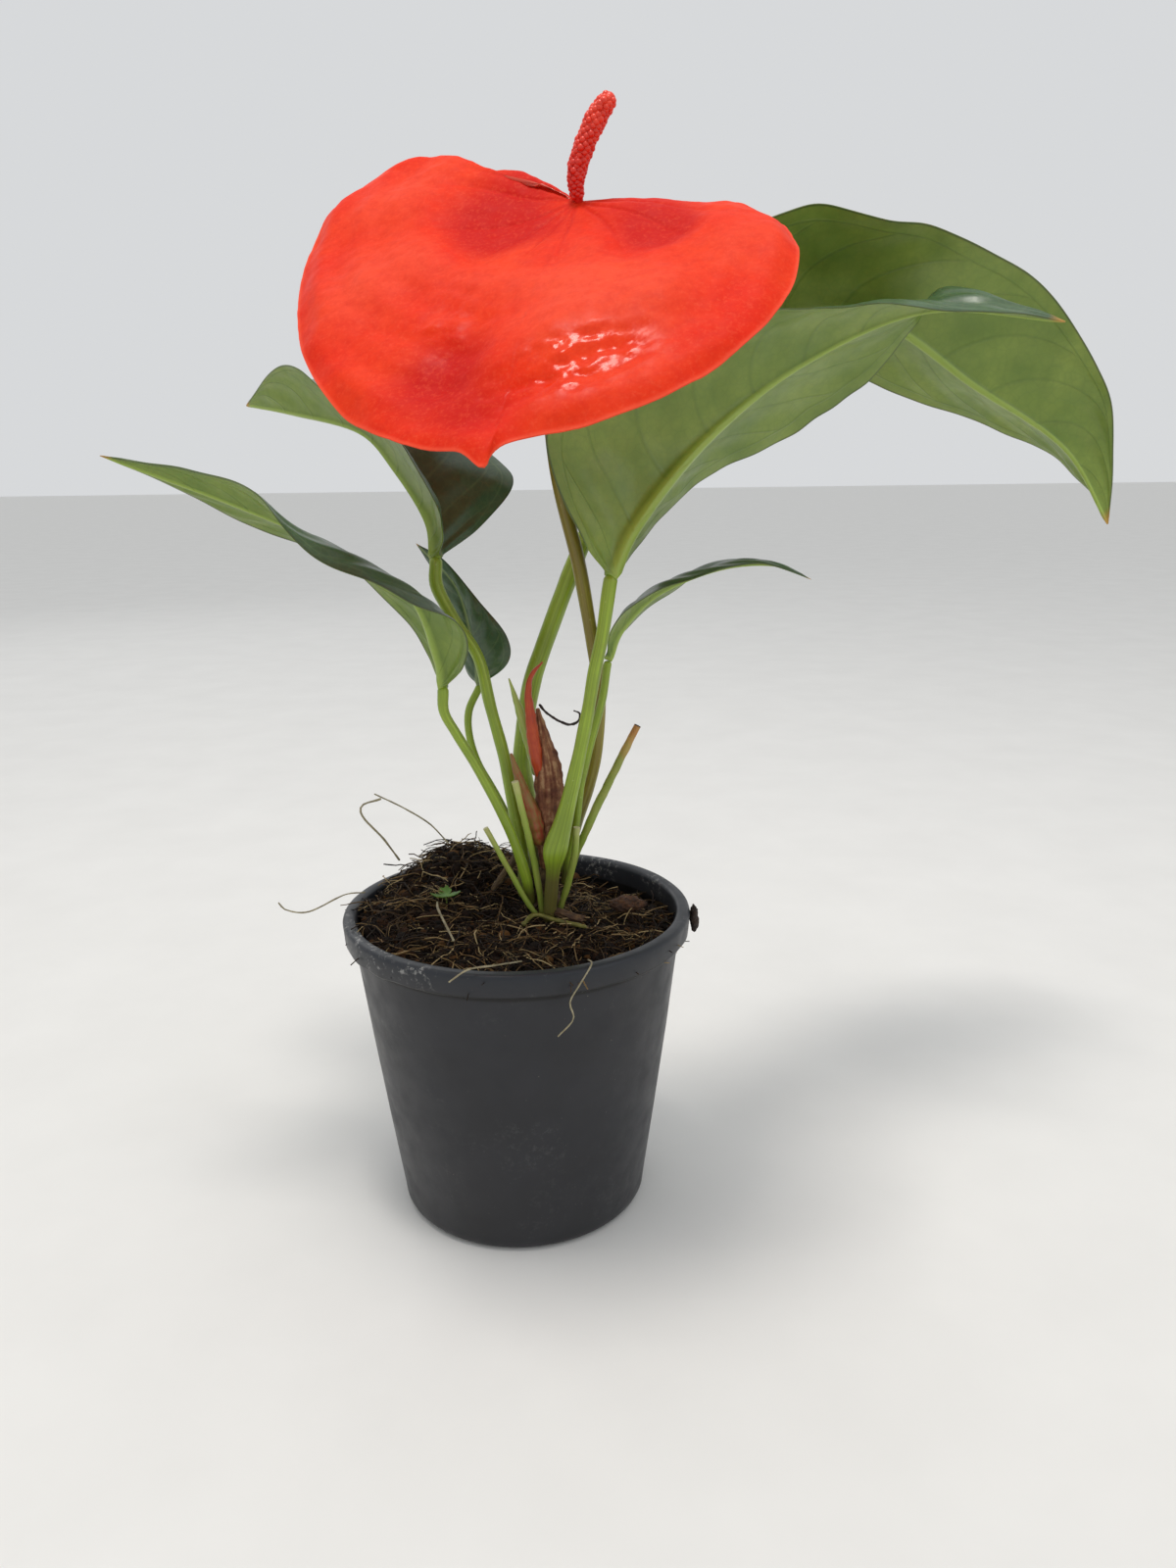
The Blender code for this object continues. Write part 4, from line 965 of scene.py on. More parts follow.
def make_blade(leaf, upper, under):
    """A double-sided blade: cambered halves, ridged midrib below, sunken side veins and a thin margin."""
    ridge, pairs, flutter, seed = BLADE_TRAITS[leaf]
    lines = LEAVES[leaf]
    share = np.linspace(0.002, 0.997, BLADE_ROWS)
    middle = along(smooth_line(lines["rib"]), share)
    left = along(smooth_line((lines["rib"][0], *lines["left"], lines["rib"][-1])), share)
    right = along(smooth_line((lines["rib"][0], *lines["right"], lines["rib"][-1])), share)
    length = np.linalg.norm(np.diff(middle, axis=0), axis=1).sum()
    forward = unit(np.gradient(middle, axis=0))
    up = unit(np.cross(right - left, forward))
    spread = np.linspace(-1, 1, BLADE_COLUMNS)
    c = np.sign(spread) * np.abs(spread) ** COLUMN_CROWDING
    a = np.abs(c)[None, :]
    reach = np.where((c < 0)[None, :, None], (left - middle)[:, None], (right - middle)[:, None])
    wide = np.linalg.norm(reach, axis=2)
    sheet = middle[:, None] + a[..., None] * reach
    sheet = sheet + (CAMBER * wide * np.sin(math.pi * a))[..., None] * up[:, None]
    normal = np.cross(np.gradient(sheet, axis=1), np.gradient(sheet, axis=0))
    size = np.linalg.norm(normal, axis=2, keepdims=True)
    solid = smoothstep(0.5, 4.0, wide)[..., None]
    normal = unit(solid * normal / np.maximum(size, 1e-9) + (1 - solid) * up[:, None])
    v = share[:, None]
    from_rib = a * wide
    phase = pairs * (v - 0.16 * a - 0.10 * a ** 2) + np.where(c > 0, 0.5, 0.0)[None, :] + 0.2
    broad = np.minimum(wide / 12, 1)
    quilt = 0.3 * np.cos(2 * math.pi * phase) * smoothstep(0.05, 0.25, a) * (1 - smoothstep(0.8, 0.95, a)) * broad
    waves = flutter * ripple(sheet, 42, seed) * a ** 2 * broad
    dents = 0.3 * ripple(sheet, 18, seed + 50) * smoothstep(0, 0.3, a) * broad
    height = quilt + waves + dents
    thick = BLADE_THICKNESS - (BLADE_THICKNESS - MARGIN_THICKNESS) * smoothstep(0.88, 1, a)
    thick = thick * np.minimum(1, 0.25 + wide / 3)
    radius = ridge * (0.14 + 0.86 * (1 - v) ** 1.3)
    below = 1.05 * radius * bell(from_rib, 1.05 * radius)
    joint = bell(v * length, 5.0)
    above = radius * 1.0 * bell(from_rib, 1.05 * radius) * joint - 0.3 * bell(from_rib, 1.4) * (1 - joint)
    top = sheet + normal * (height + thick / 2 + above)[..., None]
    low = sheet + normal * (height - thick / 2 - below)[..., None]
    rows, columns = BLADE_ROWS, BLADE_COLUMNS
    count = rows * columns
    faces = grid_quads(rows, columns) + grid_quads(rows, columns, start=count, flip=True)
    slots = [0] * ((rows - 1) * (columns - 1)) + [1] * ((rows - 1) * (columns - 1))
    for r in range(rows - 1):
        here, ahead = r * columns, (r + 1) * columns
        faces.append((here, ahead, ahead + count, here + count))
        end, far = here + columns - 1, ahead + columns - 1
        faces.append((end, end + count, far + count, far))
    last = (rows - 1) * columns
    for k in range(columns - 1):
        faces.append((k, k + count, k + 1 + count, k + 1))
        faces.append((last + k, last + k + 1, last + k + 1 + count, last + k + count))
    slots += [1] * (len(faces) - len(slots))
    uv = np.stack([np.broadcast_to(0.5 + 0.5 * c[None, :], (rows, columns)),
                   np.broadcast_to(v, (rows, columns))], axis=-1).reshape(-1, 2)
    piece = mesh_piece(leaf + "_surface", np.vstack([top.reshape(-1, 3), low.reshape(-1, 3)]), faces,
                       [upper, under], np.vstack([uv, uv]), slots)
    edge = (1 - a) * wide + 4.0 * bell(v * length, 9.0)
    rib_reach = from_rib / np.maximum(radius, 0.6)
    for label, values in (("vein_phase", phase), ("rib_reach", rib_reach), ("edge_mm", edge)):
        store(piece, label, np.tile(np.broadcast_to(values, (rows, columns)).ravel(), 2))
    stand_for(piece, "leaf", leaf + "_blade")


def store(piece, label, values):
    """Keep one number per point on the mesh, for its material to read."""
    layer = piece.data.attributes.new(label, "FLOAT", "POINT")
    layer.data.foreach_set("value", np.asarray(values, dtype=np.float32))


def make_leaves(looks):
    upper = leaf_side("waxy leaf upper side", looks,
                      (looks.leaf_upper, "#34502f", "#6c8353", "#7f9158", "#2a3a1c"), 0.36, -1)
    under = leaf_side("waxy leaf underside", looks,
                      (looks.leaf_under, "#66802a", "#516c26", "#9bb34a", "#33461c"), 0.42, 1)
    for leaf in LEAVES:
        make_blade(leaf, upper, under)


def make_spathe(looks):
    """The bract: a veined, bowled and puckered sheet on rays from the stalk to its edge."""
    rim = along(smooth_line(SPATHE_EDGE), np.linspace(0, 1, SPATHE_RAYS))
    hub = np.array(SPATHE_HUB)
    tip = rim[np.argmin(rim[:, 2])]
    coarse = along(smooth_line(SPATHE_EDGE), np.linspace(0, 1, 36))
    normal = unit(np.cross(coarse[-8] - coarse[8], hub - tip))
    share = np.linspace(0, 1, SPATHE_RINGS)[:, None]
    reach = rim - hub
    wide = np.linalg.norm(reach, axis=1)[None, :]
    start = HUB_OPENING / wide
    part = start + (1 - start) * share
    dome = SPATHE_DOME * np.sin(math.pi * share) * smoothstep(8, 45, wide)
    sheet = hub + part[..., None] * reach[None] + dome[..., None] * normal
    flat = sheet.reshape(-1, 3)[:, :2] * (1.0, 1.3)
    vein = np.full(len(flat), 1e9)
    for line in SPATHE_VEINS:
        vein = np.minimum(vein, curve_distance(flat, smooth_line(np.array(line) * (1.0, 1.3), 6)))
    shape = part.shape
    vein = vein.reshape(shape)
    x, y = sheet[..., 0], sheet[..., 1]
    edge = (1 - part) * wide
    away = part * wide
    fade = smoothstep(0.0, 9.0, edge) * smoothstep(2, 12, away)
    swell = np.zeros(shape)
    for at_x, at_y, rise, size in SPATHE_SWELLS:
        swell = swell + rise * np.exp(-((x - at_x) ** 2 + (1.3 * (y - at_y)) ** 2) / (2 * size ** 2))
    swell = swell * fade
    quilt = looks.spathe_relief / MM * (1 - bell(vein, 6.0)) * smoothstep(4, 22, away) * smoothstep(0, 12, edge)
    groove = -0.34 * bell(vein, 0.7) * smoothstep(2, 8, away) * (1 - 0.75 * smoothstep(22, 60, away))
    front = np.exp(-((x - 24) / 22) ** 2 - ((y + 83) / 8) ** 2)
    front = front + 0.45 * np.exp(-((x + 12) / 9) ** 2 - ((y + 56) / 18) ** 2)
    pucker = 0.5 * ripple(sheet * (0.5, 1.0, 1.0), 5.0, 41) + 0.26 * ripple(sheet * (0.6, 1.0, 1.0), 2.8, 45)
    pucker = pucker * (0.05 + front) * smoothstep(1, 9, edge)
    fine = 0.10 * ripple(sheet, 7.5, 42) + 0.035 * ripple(sheet, 2.6, 43)
    frill = 0.7 * ripple(sheet, 26, 44) * bell(edge, 9)
    brow = 2.6 * bell(y + 73 - 0.10 * (x - 20), 9) * smoothstep(-14, 6, x) * smoothstep(70, 48, x)
    brow = (brow + 1.5 * bell(away - 49, 8)) * smoothstep(0, 10, edge)
    brow = brow + 0.3 * np.cos(away / 2.2) * smoothstep(52, 62, away) * smoothstep(14, -8, x) * smoothstep(0, 8, edge)
    roll = 0.9 * bell(edge - 8, 6) - 1.0 * bell(edge, 4)
    height = swell + quilt + groove + pucker + fine + brow + (frill + roll) * smoothstep(14, 34, away)
    up = np.cross(np.gradient(sheet, axis=1), np.gradient(sheet, axis=0))
    up = unit(up)
    if (up.reshape(-1, 3) @ normal).mean() < 0:
        up = -up
    thick = SPATHE_THICKNESS * (0.45 + 0.55 * smoothstep(0, 3, edge))
    top = sheet + up * (height + thick / 2)[..., None]
    low = sheet + up * (height - thick / 2)[..., None]
    rows, columns = shape
    count = rows * columns
    facing = np.cross(sheet[5, 6] - sheet[5, 5], sheet[6, 5] - sheet[5, 5]) @ normal > 0
    faces = grid_quads(rows, columns, flip=not facing) + grid_quads(rows, columns, start=count, flip=facing)
    slots = [0] * ((rows - 1) * (columns - 1)) + [1] * ((rows - 1) * (columns - 1))
    border = [c for c in range(columns)] + [r * columns + columns - 1 for r in range(1, rows)]
    border += [(rows - 1) * columns + c for c in range(columns - 2, -1, -1)]
    border += [r * columns for r in range(rows - 2, 0, -1)]
    for here, ahead in zip(border, border[1:] + border[:1]):
        side = (here, here + count, ahead + count, ahead)
        faces.append(side if facing else side[::-1])
    slots += [0] * (len(faces) - len(slots))
    u = np.broadcast_to(np.linspace(0, 1, columns)[None, :], shape)
    uv = np.stack([u, np.broadcast_to(share, shape)], axis=-1).reshape(-1, 2)
    piece = mesh_piece("spathe_surface", np.vstack([top.reshape(-1, 3), low.reshape(-1, 3)]), faces,
                       [spathe_wax(looks), spathe_back(looks)], np.vstack([uv, uv]), slots)
    # Colour tone, stored as "swell": the bowls and swells, lowered on a ring round the stalk and raised on the ridge
    # ring further out. It paints shade into the hollows and sheen onto the raised parts, over the bract's own uneven
    # red.
    tone = swell - 1.7 * bell(away - 22, 16) * (1 - 0.8 * bell(x - 27, 10) * smoothstep(-20, -34, y))
    tone = tone + 1.2 * bell(away - 50, 8)
    for label, values in (("vein_mm", vein + 2.2 * smoothstep(14, 60, away)), ("edge_mm", edge),
                          ("swell", tone), ("gloss", front)):
        store(piece, label, np.tile(values.ravel(), 2))
    stand_for(piece, "spathe", "spathe")


def make_spadix(looks):
    """The spike of florets: a core with rounded bumps in spiral rows."""
    skin = spadix_skin(looks)
    centres, outward, rows, length = tube_points(SPADIX_LINE, SPADIX_RADII, sides=48, rings=120)
    golden = math.pi * (3 - math.sqrt(5))
    count = looks.floret_count
    spots_at, headings, sizes = [], [], []
    jitter = np.random.default_rng(17).uniform(-1, 1, (count, 3)) * (0.16, 0.05, 0.14)
    for k in range(count):
        run = 0.05 + 0.95 * (k + 0.5) / count
        ring = min(int(run * 119), 119)
        angle = (k * golden + jitter[k, 0]) % (2 * math.pi)
        side = int(angle / (2 * math.pi) * 48) % 48
        spots_at.append(centres[ring] + (rows[ring, side] - centres[ring]) * (0.74 + jitter[k, 1]))
        headings.append(outward[ring, side])
        sizes.append(0.7 + 0.3 * smoothstep(0, 0.25, run) + jitter[k, 2])
    source = mesh_piece("spadix_points", np.array(spots_at), [], [])
    layer = source.data.attributes.new("heading", "FLOAT_VECTOR", "POINT")
    layer.data.foreach_set("vector", np.array(headings, dtype=np.float32).ravel())
    store(source, "grown", sizes)
    tree, given, out = new_tree("spadix_florets", (("Bump size", "Float"), ("Finish", "Material")))
    ball = add(tree, "GeometryNodeMeshIcoSphere", {"Radius": 0.5, "Subdivisions": 3})
    local = add(tree, "GeometryNodeInputPosition")
    tall = add(tree, "ShaderNodeSeparateXYZ", {"Vector": local.outputs[0]})
    crest = add(tree, "ShaderNodeMath", {0: tall.outputs["Z"], 1: 2.0}, operation="MULTIPLY")
    marked = add(tree, "GeometryNodeStoreNamedAttribute",
                 {"Geometry": ball.outputs["Mesh"], "Name": "crest", "Value": crest.outputs[0]},
                 data_type="FLOAT", domain="POINT")
    heading = add(tree, "GeometryNodeInputNamedAttribute", {"Name": "heading"}, data_type="FLOAT_VECTOR")
    aligned = add(tree, "FunctionNodeAlignRotationToVector", {"Vector": heading.outputs[0]}, axis="Z")
    grown = add(tree, "GeometryNodeInputNamedAttribute", {"Name": "grown"}, data_type="FLOAT")
    size = add(tree, "ShaderNodeMath", {0: grown.outputs[0], 1: given.outputs["Bump size"]}, operation="MULTIPLY")
    placed = add(tree, "GeometryNodeInstanceOnPoints",
                 {"Points": given.outputs["Geometry"], "Instance": marked.outputs[0],
                  "Rotation": aligned.outputs[0], "Scale": size.outputs[0]})
    real = add(tree, "GeometryNodeRealizeInstances", {"Geometry": placed.outputs[0]})
    painted = add(tree, "GeometryNodeSetMaterial", {"Geometry": real.outputs[0],
                                                    "Material": given.outputs["Finish"]})
    tree.links.new(painted.outputs[0], out.inputs[0])
    florets = run_tree("spadix_florets", source, tree, {"Bump size": looks.floret_size, "Finish": skin})
    florets.data.shade_smooth()
    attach(florets, BODY)
    core = tube_piece("spadix_core", SPADIX_LINE, [r * 0.85 for r in SPADIX_RADII], skin, sides=48)
    stand_for(core, "spadix", "spadix")


def stalk_wobble(seed, amount=0.035, reach=14):
    def wobble(angle, run, places):
        return 1 + amount * ripple(places, reach, seed)
    return wobble


def wrinkled(seed, folds, depth, flare=0.0):
    """Lengthwise creases that wander, deeper towards the far end."""
    def wobble(angle, run, places):
        drift = 1.3 * np.sin(run / 7.0 + seed) + 0.7 * np.sin(run / 3.1 + 2 * seed)
        crease = np.abs(np.sin(folds * angle / 2 + drift)) ** 0.6 - 0.6
        far = run / run.max()
        return 1 + depth * crease * (0.6 + 0.4 * far) + 0.07 * ripple(places, 3.2, seed) + flare * far
    return wobble


def knobbly(seed, amount, size):
    def wobble(angle, run, places):
        return 1 + amount * ripple(places, size, seed) + 0.5 * amount * ripple(places, size / 3, seed + 1)
    return wobble


def make_stalks(looks):
    green = stalk_skin("smooth leaf stalk", (looks.stalk_colour, "#7a9028", "#4d4523"))
    corky_foot = stalk_skin("leaf stalk with a corky foot", (looks.stalk_colour, "#7a9028", "#5a4a2c"), 0.38, 0.21)
    olive = stalk_skin("smooth flower stalk", (looks.flower_stalk_colour, "#7b6a22", "#6c7a26"))
    for k, name in enumerate(n for n in STALKS if n.endswith("_leaf_stalk")):
        line, radii = STALKS[name]
        skin = corky_foot if name == "front_leaf_stalk" else green
        stand_for(tube_piece(name + "_skin", line, radii, skin, wobble=stalk_wobble(60 + k)), "stalk", name)
    line, radii = STALKS["flower_stalk"]
    stand_for(tube_piece("flower_stalk_skin", line, radii, olive, wobble=stalk_wobble(70, 0.025, 20)),
              "flower_stalk", "flower_stalk")


def make_stubs():
    fresh = cut_stub_skin("cut stalk", ("#9db24c", "#aebb62", "#b9bf74"), "#c6c493")
    dried = cut_stub_skin("dried cut stalk", ("#8a9440", "#b98a4a", "#b07c40"), "#20150d")
    for k, name in enumerate(n for n in STALKS if n.startswith("cut_stub")):
        line, radii = STALKS[name]
        cut = dried if name == "cut_stub_right" else fresh
        stub = tube_piece(name + "_skin", line, radii, cut, sides=20, wobble=stalk_wobble(80 + k, 0.07, 6),
                          round_ends=(True, False))
        stand_for(stub, "stalk", name)


def make_sheaths():
    """Everything that wraps the young growth: dry sheath, rolled new leaf, bract and pink sheath."""
    papery = rough_skin("dry papery sheath", ((0.30, "#2c140c"), (0.42, "#643420"), (0.52, "#8a5a3c"), (0.60, "#b58f68"), (0.7, "#5c2e1e")),
                        4.2, 0.72, 0.7, bands=2.5)
    line, radii = STALKS["papery_sheath"]
    sheath = tube_piece("papery_sheath_skin", line, radii, papery, sides=40, rings=60, wobble=wrinkled(3, 9, 0.2))
    stand_for(sheath, "papery_sheath", "papery_sheath")
    scarlet = rough_skin("rolled new leaf", ((0.25, "#8a2a10"), (0.5, "#b44018"), (0.75, "#cc6a2c")),
                         7, 0.4, 0.12, bands=2.0)
    line, radii = STALKS["new_leaf_spike"]
    spike = tube_piece("new_leaf_spike_skin", line, radii, scarlet, sides=24, rings=50, wobble=wrinkled(5, 3, 0.12))
    stand_for(spike, "new_leaf", "new_leaf_spike")
    pale = stalk_skin("young green bract", ("#b4c46a", "#98ad4c", "#7c9a38"), 0.4)
    line, radii = STALKS["green_bract"]
    bract = tube_piece("green_bract_skin", line, radii, pale, sides=20, rings=40, wobble=wrinkled(7, 3, 0.12))
    stand_for(bract, "stalk", "green_bract")
    flushed = rough_skin("pink olive sheath", ((0.28, "#7d8434"), (0.48, "#8e6a36"), (0.60, "#a4462e"), (0.8, "#7c2a1e")),
                         6, 0.5, 0.2, bands=3.0)
    line, radii = STALKS["pink_sheath"]
    pink = tube_piece("pink_sheath_skin", line, radii, flushed, sides=28, rings=44, wobble=wrinkled(9, 5, 0.15))
    stand_for(pink, "pink_sheath", "pink_sheath")
    burnt = rough_skin("dried tendril", ((0.3, "#120c09"), (0.6, "#2c1d14"), (0.8, "#4a3222")), 2, 0.6, 0.1)
    line, radii = STALKS["dry_tendril"]
    tendril = tube_piece("dry_tendril_skin", line, radii, burnt, sides=12, rings=60, wobble=knobbly(11, 0.18, 2.5))
    stand_for(tendril, "dry_tendril", "dry_tendril")


def make_crown():
    corky = rough_skin("corky stem base", ((0.28, "#221710"), (0.46, "#4c3a26"), (0.6, "#75603f"), (0.76, "#9c8a64")),
                       3.2, 0.82, 0.6, bands=6.0)
    for k, name in enumerate(("crown", "aerial_root")):
        line, radii = STALKS[name]
        piece = tube_piece(name + "_skin", line, radii, corky, sides=40, rings=60, wobble=knobbly(90 + k, 0.09, 4))
        stand_for(piece, "stem_base", name)


def make_fibres():
    finishes = {
        "root": rough_skin("pale live root", ((0.3, "#4c4a1e"), (0.5, "#6f6c2c"), (0.72, "#94904a")), 4, 0.6, 0.15),
        "straw": rough_skin("dry straw", ((0.3, "#6e6249"), (0.5, "#948a6c"), (0.75, "#bdb498")), 3, 0.7, 0.1),
    }
    for k, (name, (line, radius, kind)) in enumerate(FIBRES.items()):
        piece = tube_piece(name + "_strand", line, [radius] * len(line), finishes[kind], sides=12,
                           wobble=knobbly(100 + k, 0.14, 5))
        stand_for(piece, kind, name)


def rough_ball(name, finish_of, subdivisions, size_of_dents, dents=0.1):
    centre, size, seed = LUMPS[name]
    bm = bmesh.new()
    bmesh.ops.create_icosphere(bm, subdivisions=subdivisions, radius=1.0)
    points = np.array([vert.co[:] for vert in bm.verts]) * size
    rough = 1 + dents * ripple(points, size_of_dents, seed) + 0.5 * dents * ripple(points, size_of_dents / 3, seed + 1)
    points = points * rough[:, None] + centre
    faces = [[vert.index for vert in face.verts] for face in bm.faces]
    bm.free()
    return mesh_piece(name + "_surface", points, faces, [finish_of])


def make_lumps():
    matted = rough_skin("matted coir", ((0.28, "#1c1009"), (0.45, "#3d2514"), (0.6, "#5a3a22"), (0.78, "#7d5a36")),
                        2.4, 0.9, 0.8)
    stand_for(rough_ball("coir_lump", matted, 5, 4.5), "coir", "coir_lump")
    wet = rough_skin("wet clod", ((0.3, "#140d09"), (0.52, "#2b1d13"), (0.72, "#503420")), 2.2, 0.8, 0.7)
    stand_for(rough_ball("rim_clod", wet, 5, 5.0, 0.17), "mix", "rim_clod")


def make_bark():
    flakes = rough_skin("pine bark", ((0.28, "#22140c"), (0.46, "#47301e"), (0.62, "#6d5236"), (0.8, "#9c7d56")),
                        3.0, 0.85, 0.5)
    bm = bmesh.new()
    bmesh.ops.create_cube(bm, size=1.0)
    bmesh.ops.subdivide_edges(bm, edges=bm.edges[:], cuts=24, use_grid_fill=True)
    points = np.array([vert.co[:] for vert in bm.verts])
    faces = [[vert.index for vert in face.verts] for face in bm.faces]
    bm.free()
    length, width, depth = BARK_SIZE
    taper = 1 - 0.35 * np.abs(2 * points[:, :1]) ** 3
    rounded = 1 - 0.22 * (np.abs(2 * points[:, 2:3]) ** 4)
    points = points * (1, 1, 1) * np.hstack([rounded, taper * rounded, np.ones_like(taper)])
    points = points * (length, width, depth)
    layers = np.stack([0.25 * ripple(points * (0.3, 1, 3), 2.2, 51), 0.35 * ripple(points * (0.35, 1, 2), 3.0, 52),
                       0.22 * ripple(points * (0.4, 1, 1), 2.6, 53)], axis=1)
    turn = np.array(Matrix.Rotation(BARK_TURN, 3, "Z"))
    chip = mesh_piece("bark_chip_surface", (points + layers) @ turn.T + BARK_SPOT, faces, [flakes])
    stand_for(chip, "bark", "bark_chip")


def make_weed():
    """Clover-like seedling: three cupped leaflets of thin green sheet."""
    made, tree, shader = finish("soft weed leaflet", 0.5, Subsurface_Weight=0.08, Subsurface_Scale=0.001)
    at = spots(tree)
    uv = add(tree, "ShaderNodeSeparateXYZ", {"Vector": add(tree, "ShaderNodeTexCoord").outputs["UV"]})
    colour = blend_colour(tree, mapped(tree, noise(tree, at, 3, 3), 0.35, 0.65), "#3f6618", "#5f8a2a")
    colour = blend_colour(tree, mapped(tree, uv.outputs["Y"], 0.0, 0.35, 0.5, 0), colour, "#6c9440")
    tree.links.new(colour, shader.inputs["Base Color"])
    bump(tree, shader, noise(tree, at, 0.7, 3), 0.4, 0.1)
    x, y = WEED_SPOT
    z = float(mix_height(x, y)) + WEED_RISE
    rings, sides, thick = 12, 96, 0.3
    angle = np.linspace(0, 2 * math.pi, sides, endpoint=False)
    reach = (1.2 + 4.4 * np.abs(np.cos(1.5 * angle + 0.4)) ** 0.8) * (1 + 0.09 * np.sin(13 * angle) + 0.1 * np.sin(2 * angle))
    share = np.linspace(0.06, 1, rings)[:, None]
    out = share * reach
    droop = 0.06 * out ** 2 - 0.35 * np.abs(np.cos(1.5 * angle)) ** 8 * share
    grid = np.stack([x + out * np.cos(angle), y + out * np.sin(angle), z + droop], axis=-1)
    under = grid - (0, 0, thick)
    points = np.vstack([grid.reshape(-1, 3), under.reshape(-1, 3), [(x, y, z)], [(x, y, z - thick)]])
    count = rings * sides
    faces = grid_quads(rings, sides, closed=True, flip=True) + grid_quads(rings, sides, start=count, closed=True)
    rim = (rings - 1) * sides
    for k in range(sides):
        n = (k + 1) % sides
        faces.append((2 * count, k, n))
        faces.append((2 * count + 1, count + n, count + k))
        faces.append((rim + k, rim + k + count, rim + n + count, rim + n))
    v = np.repeat(share.ravel(), sides)
    uv_of = np.stack([np.tile(np.linspace(0, 1, sides), rings), v], axis=1)
    uv_of = np.vstack([uv_of, uv_of, (0.5, 0), (0.5, 0)])
    stand_for(mesh_piece("weed_seedling_leaflets", points, faces, [made], uv_of), "weed", "weed_seedling")
    stem = ((x, y, z - 5.5), (x + 0.4, y, z - 3), (x, y, z - 0.2))
    thread = stalk_skin("weed stem", ("#86a24a", "#6d8a38", "#7c7440"), 0.45)
    piece = tube_piece("weed_seedling_stem", stem, (0.35, 0.3, 0.3), thread, sides=12)
    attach(piece, BODY)


# --------------------------------------------------------------------- stage

FLOOR_SIZE = 30.0
CAMERA_SPOT = (0.0266, -0.4092, 0.2703)
CAMERA_TILT = math.radians(74.95)
CAMERA_ROLL = math.radians(-0.72)
CAMERA_LENS = 27.05
LAMPS = (
    # name, place, aim, size, watts, colour
    ("overhead_softbox", (-0.05, -0.22, 1.45), (0.02, 0.0, 0.2), 0.27, 8.5, "#fffaf4"),
    ("side_softbox", (1.4, -0.9, 1.0), (0.02, 0.0, 0.2), 1.0, 2.5, "#f4f7ff"),
    ("back_softbox", (-0.9, 1.5, 1.2), (0.02, 0.0, 0.25), 1.0, 2.5, "#ffffff"),
)


def make_stage():
    floor = mesh_piece("studio_floor", [(-FLOOR_SIZE * 500, -FLOOR_SIZE * 500, -0.2),
                                        (FLOOR_SIZE * 500, -FLOOR_SIZE * 500, -0.2),
                                        (FLOOR_SIZE * 500, FLOOR_SIZE * 500, -0.2),
                                        (-FLOOR_SIZE * 500, FLOOR_SIZE * 500, -0.2)],
                       [(0, 1, 2, 3)], [studio_paper()])
    world = bpy.data.worlds.new("soft room")
    bpy.context.scene.world = world
    world.use_nodes = True
    sky = world.node_tree.nodes["Background"]
    sky.inputs["Color"].default_value = linear("#f3f5f7")
    sky.inputs["Strength"].default_value = 0.76
    for name, place, aim, size, watts, colour in LAMPS:
        light = bpy.data.lights.new(name, "AREA")
        light.shape = "SQUARE"
        light.size = size
        light.energy = watts
        light.color = linear(colour)[:3]
        lamp = bpy.data.objects.new(name, light)
        bpy.context.scene.collection.objects.link(lamp)
        toward = np.array(aim) - np.array(place)
        lamp.matrix_world = (Matrix.Translation(place)
                             @ Vector(toward).to_track_quat("-Z", "Y").to_matrix().to_4x4())
    data = bpy.data.cameras.new("camera")
    data.lens = CAMERA_LENS
    data.sensor_width = 36.0
    data.clip_start = 0.01
    data.clip_end = 100.0
    camera = bpy.data.objects.new("camera", data)
    bpy.context.scene.collection.objects.link(camera)
    camera.matrix_world = (Matrix.Translation(CAMERA_SPOT) @ Matrix.Rotation(CAMERA_TILT, 4, "X")
                           @ Matrix.Rotation(CAMERA_ROLL, 4, "Z"))
    bpy.context.scene.camera = camera
    bpy.context.scene.view_settings.view_transform = "Standard"


# -------------------------------------------------------------------- add-on

def colour_property(label, what, colour):
    return bpy.props.FloatVectorProperty(name=label, description=what, subtype="COLOR", size=3, min=0.0, max=1.0,
                                         default=linear(colour)[:3])


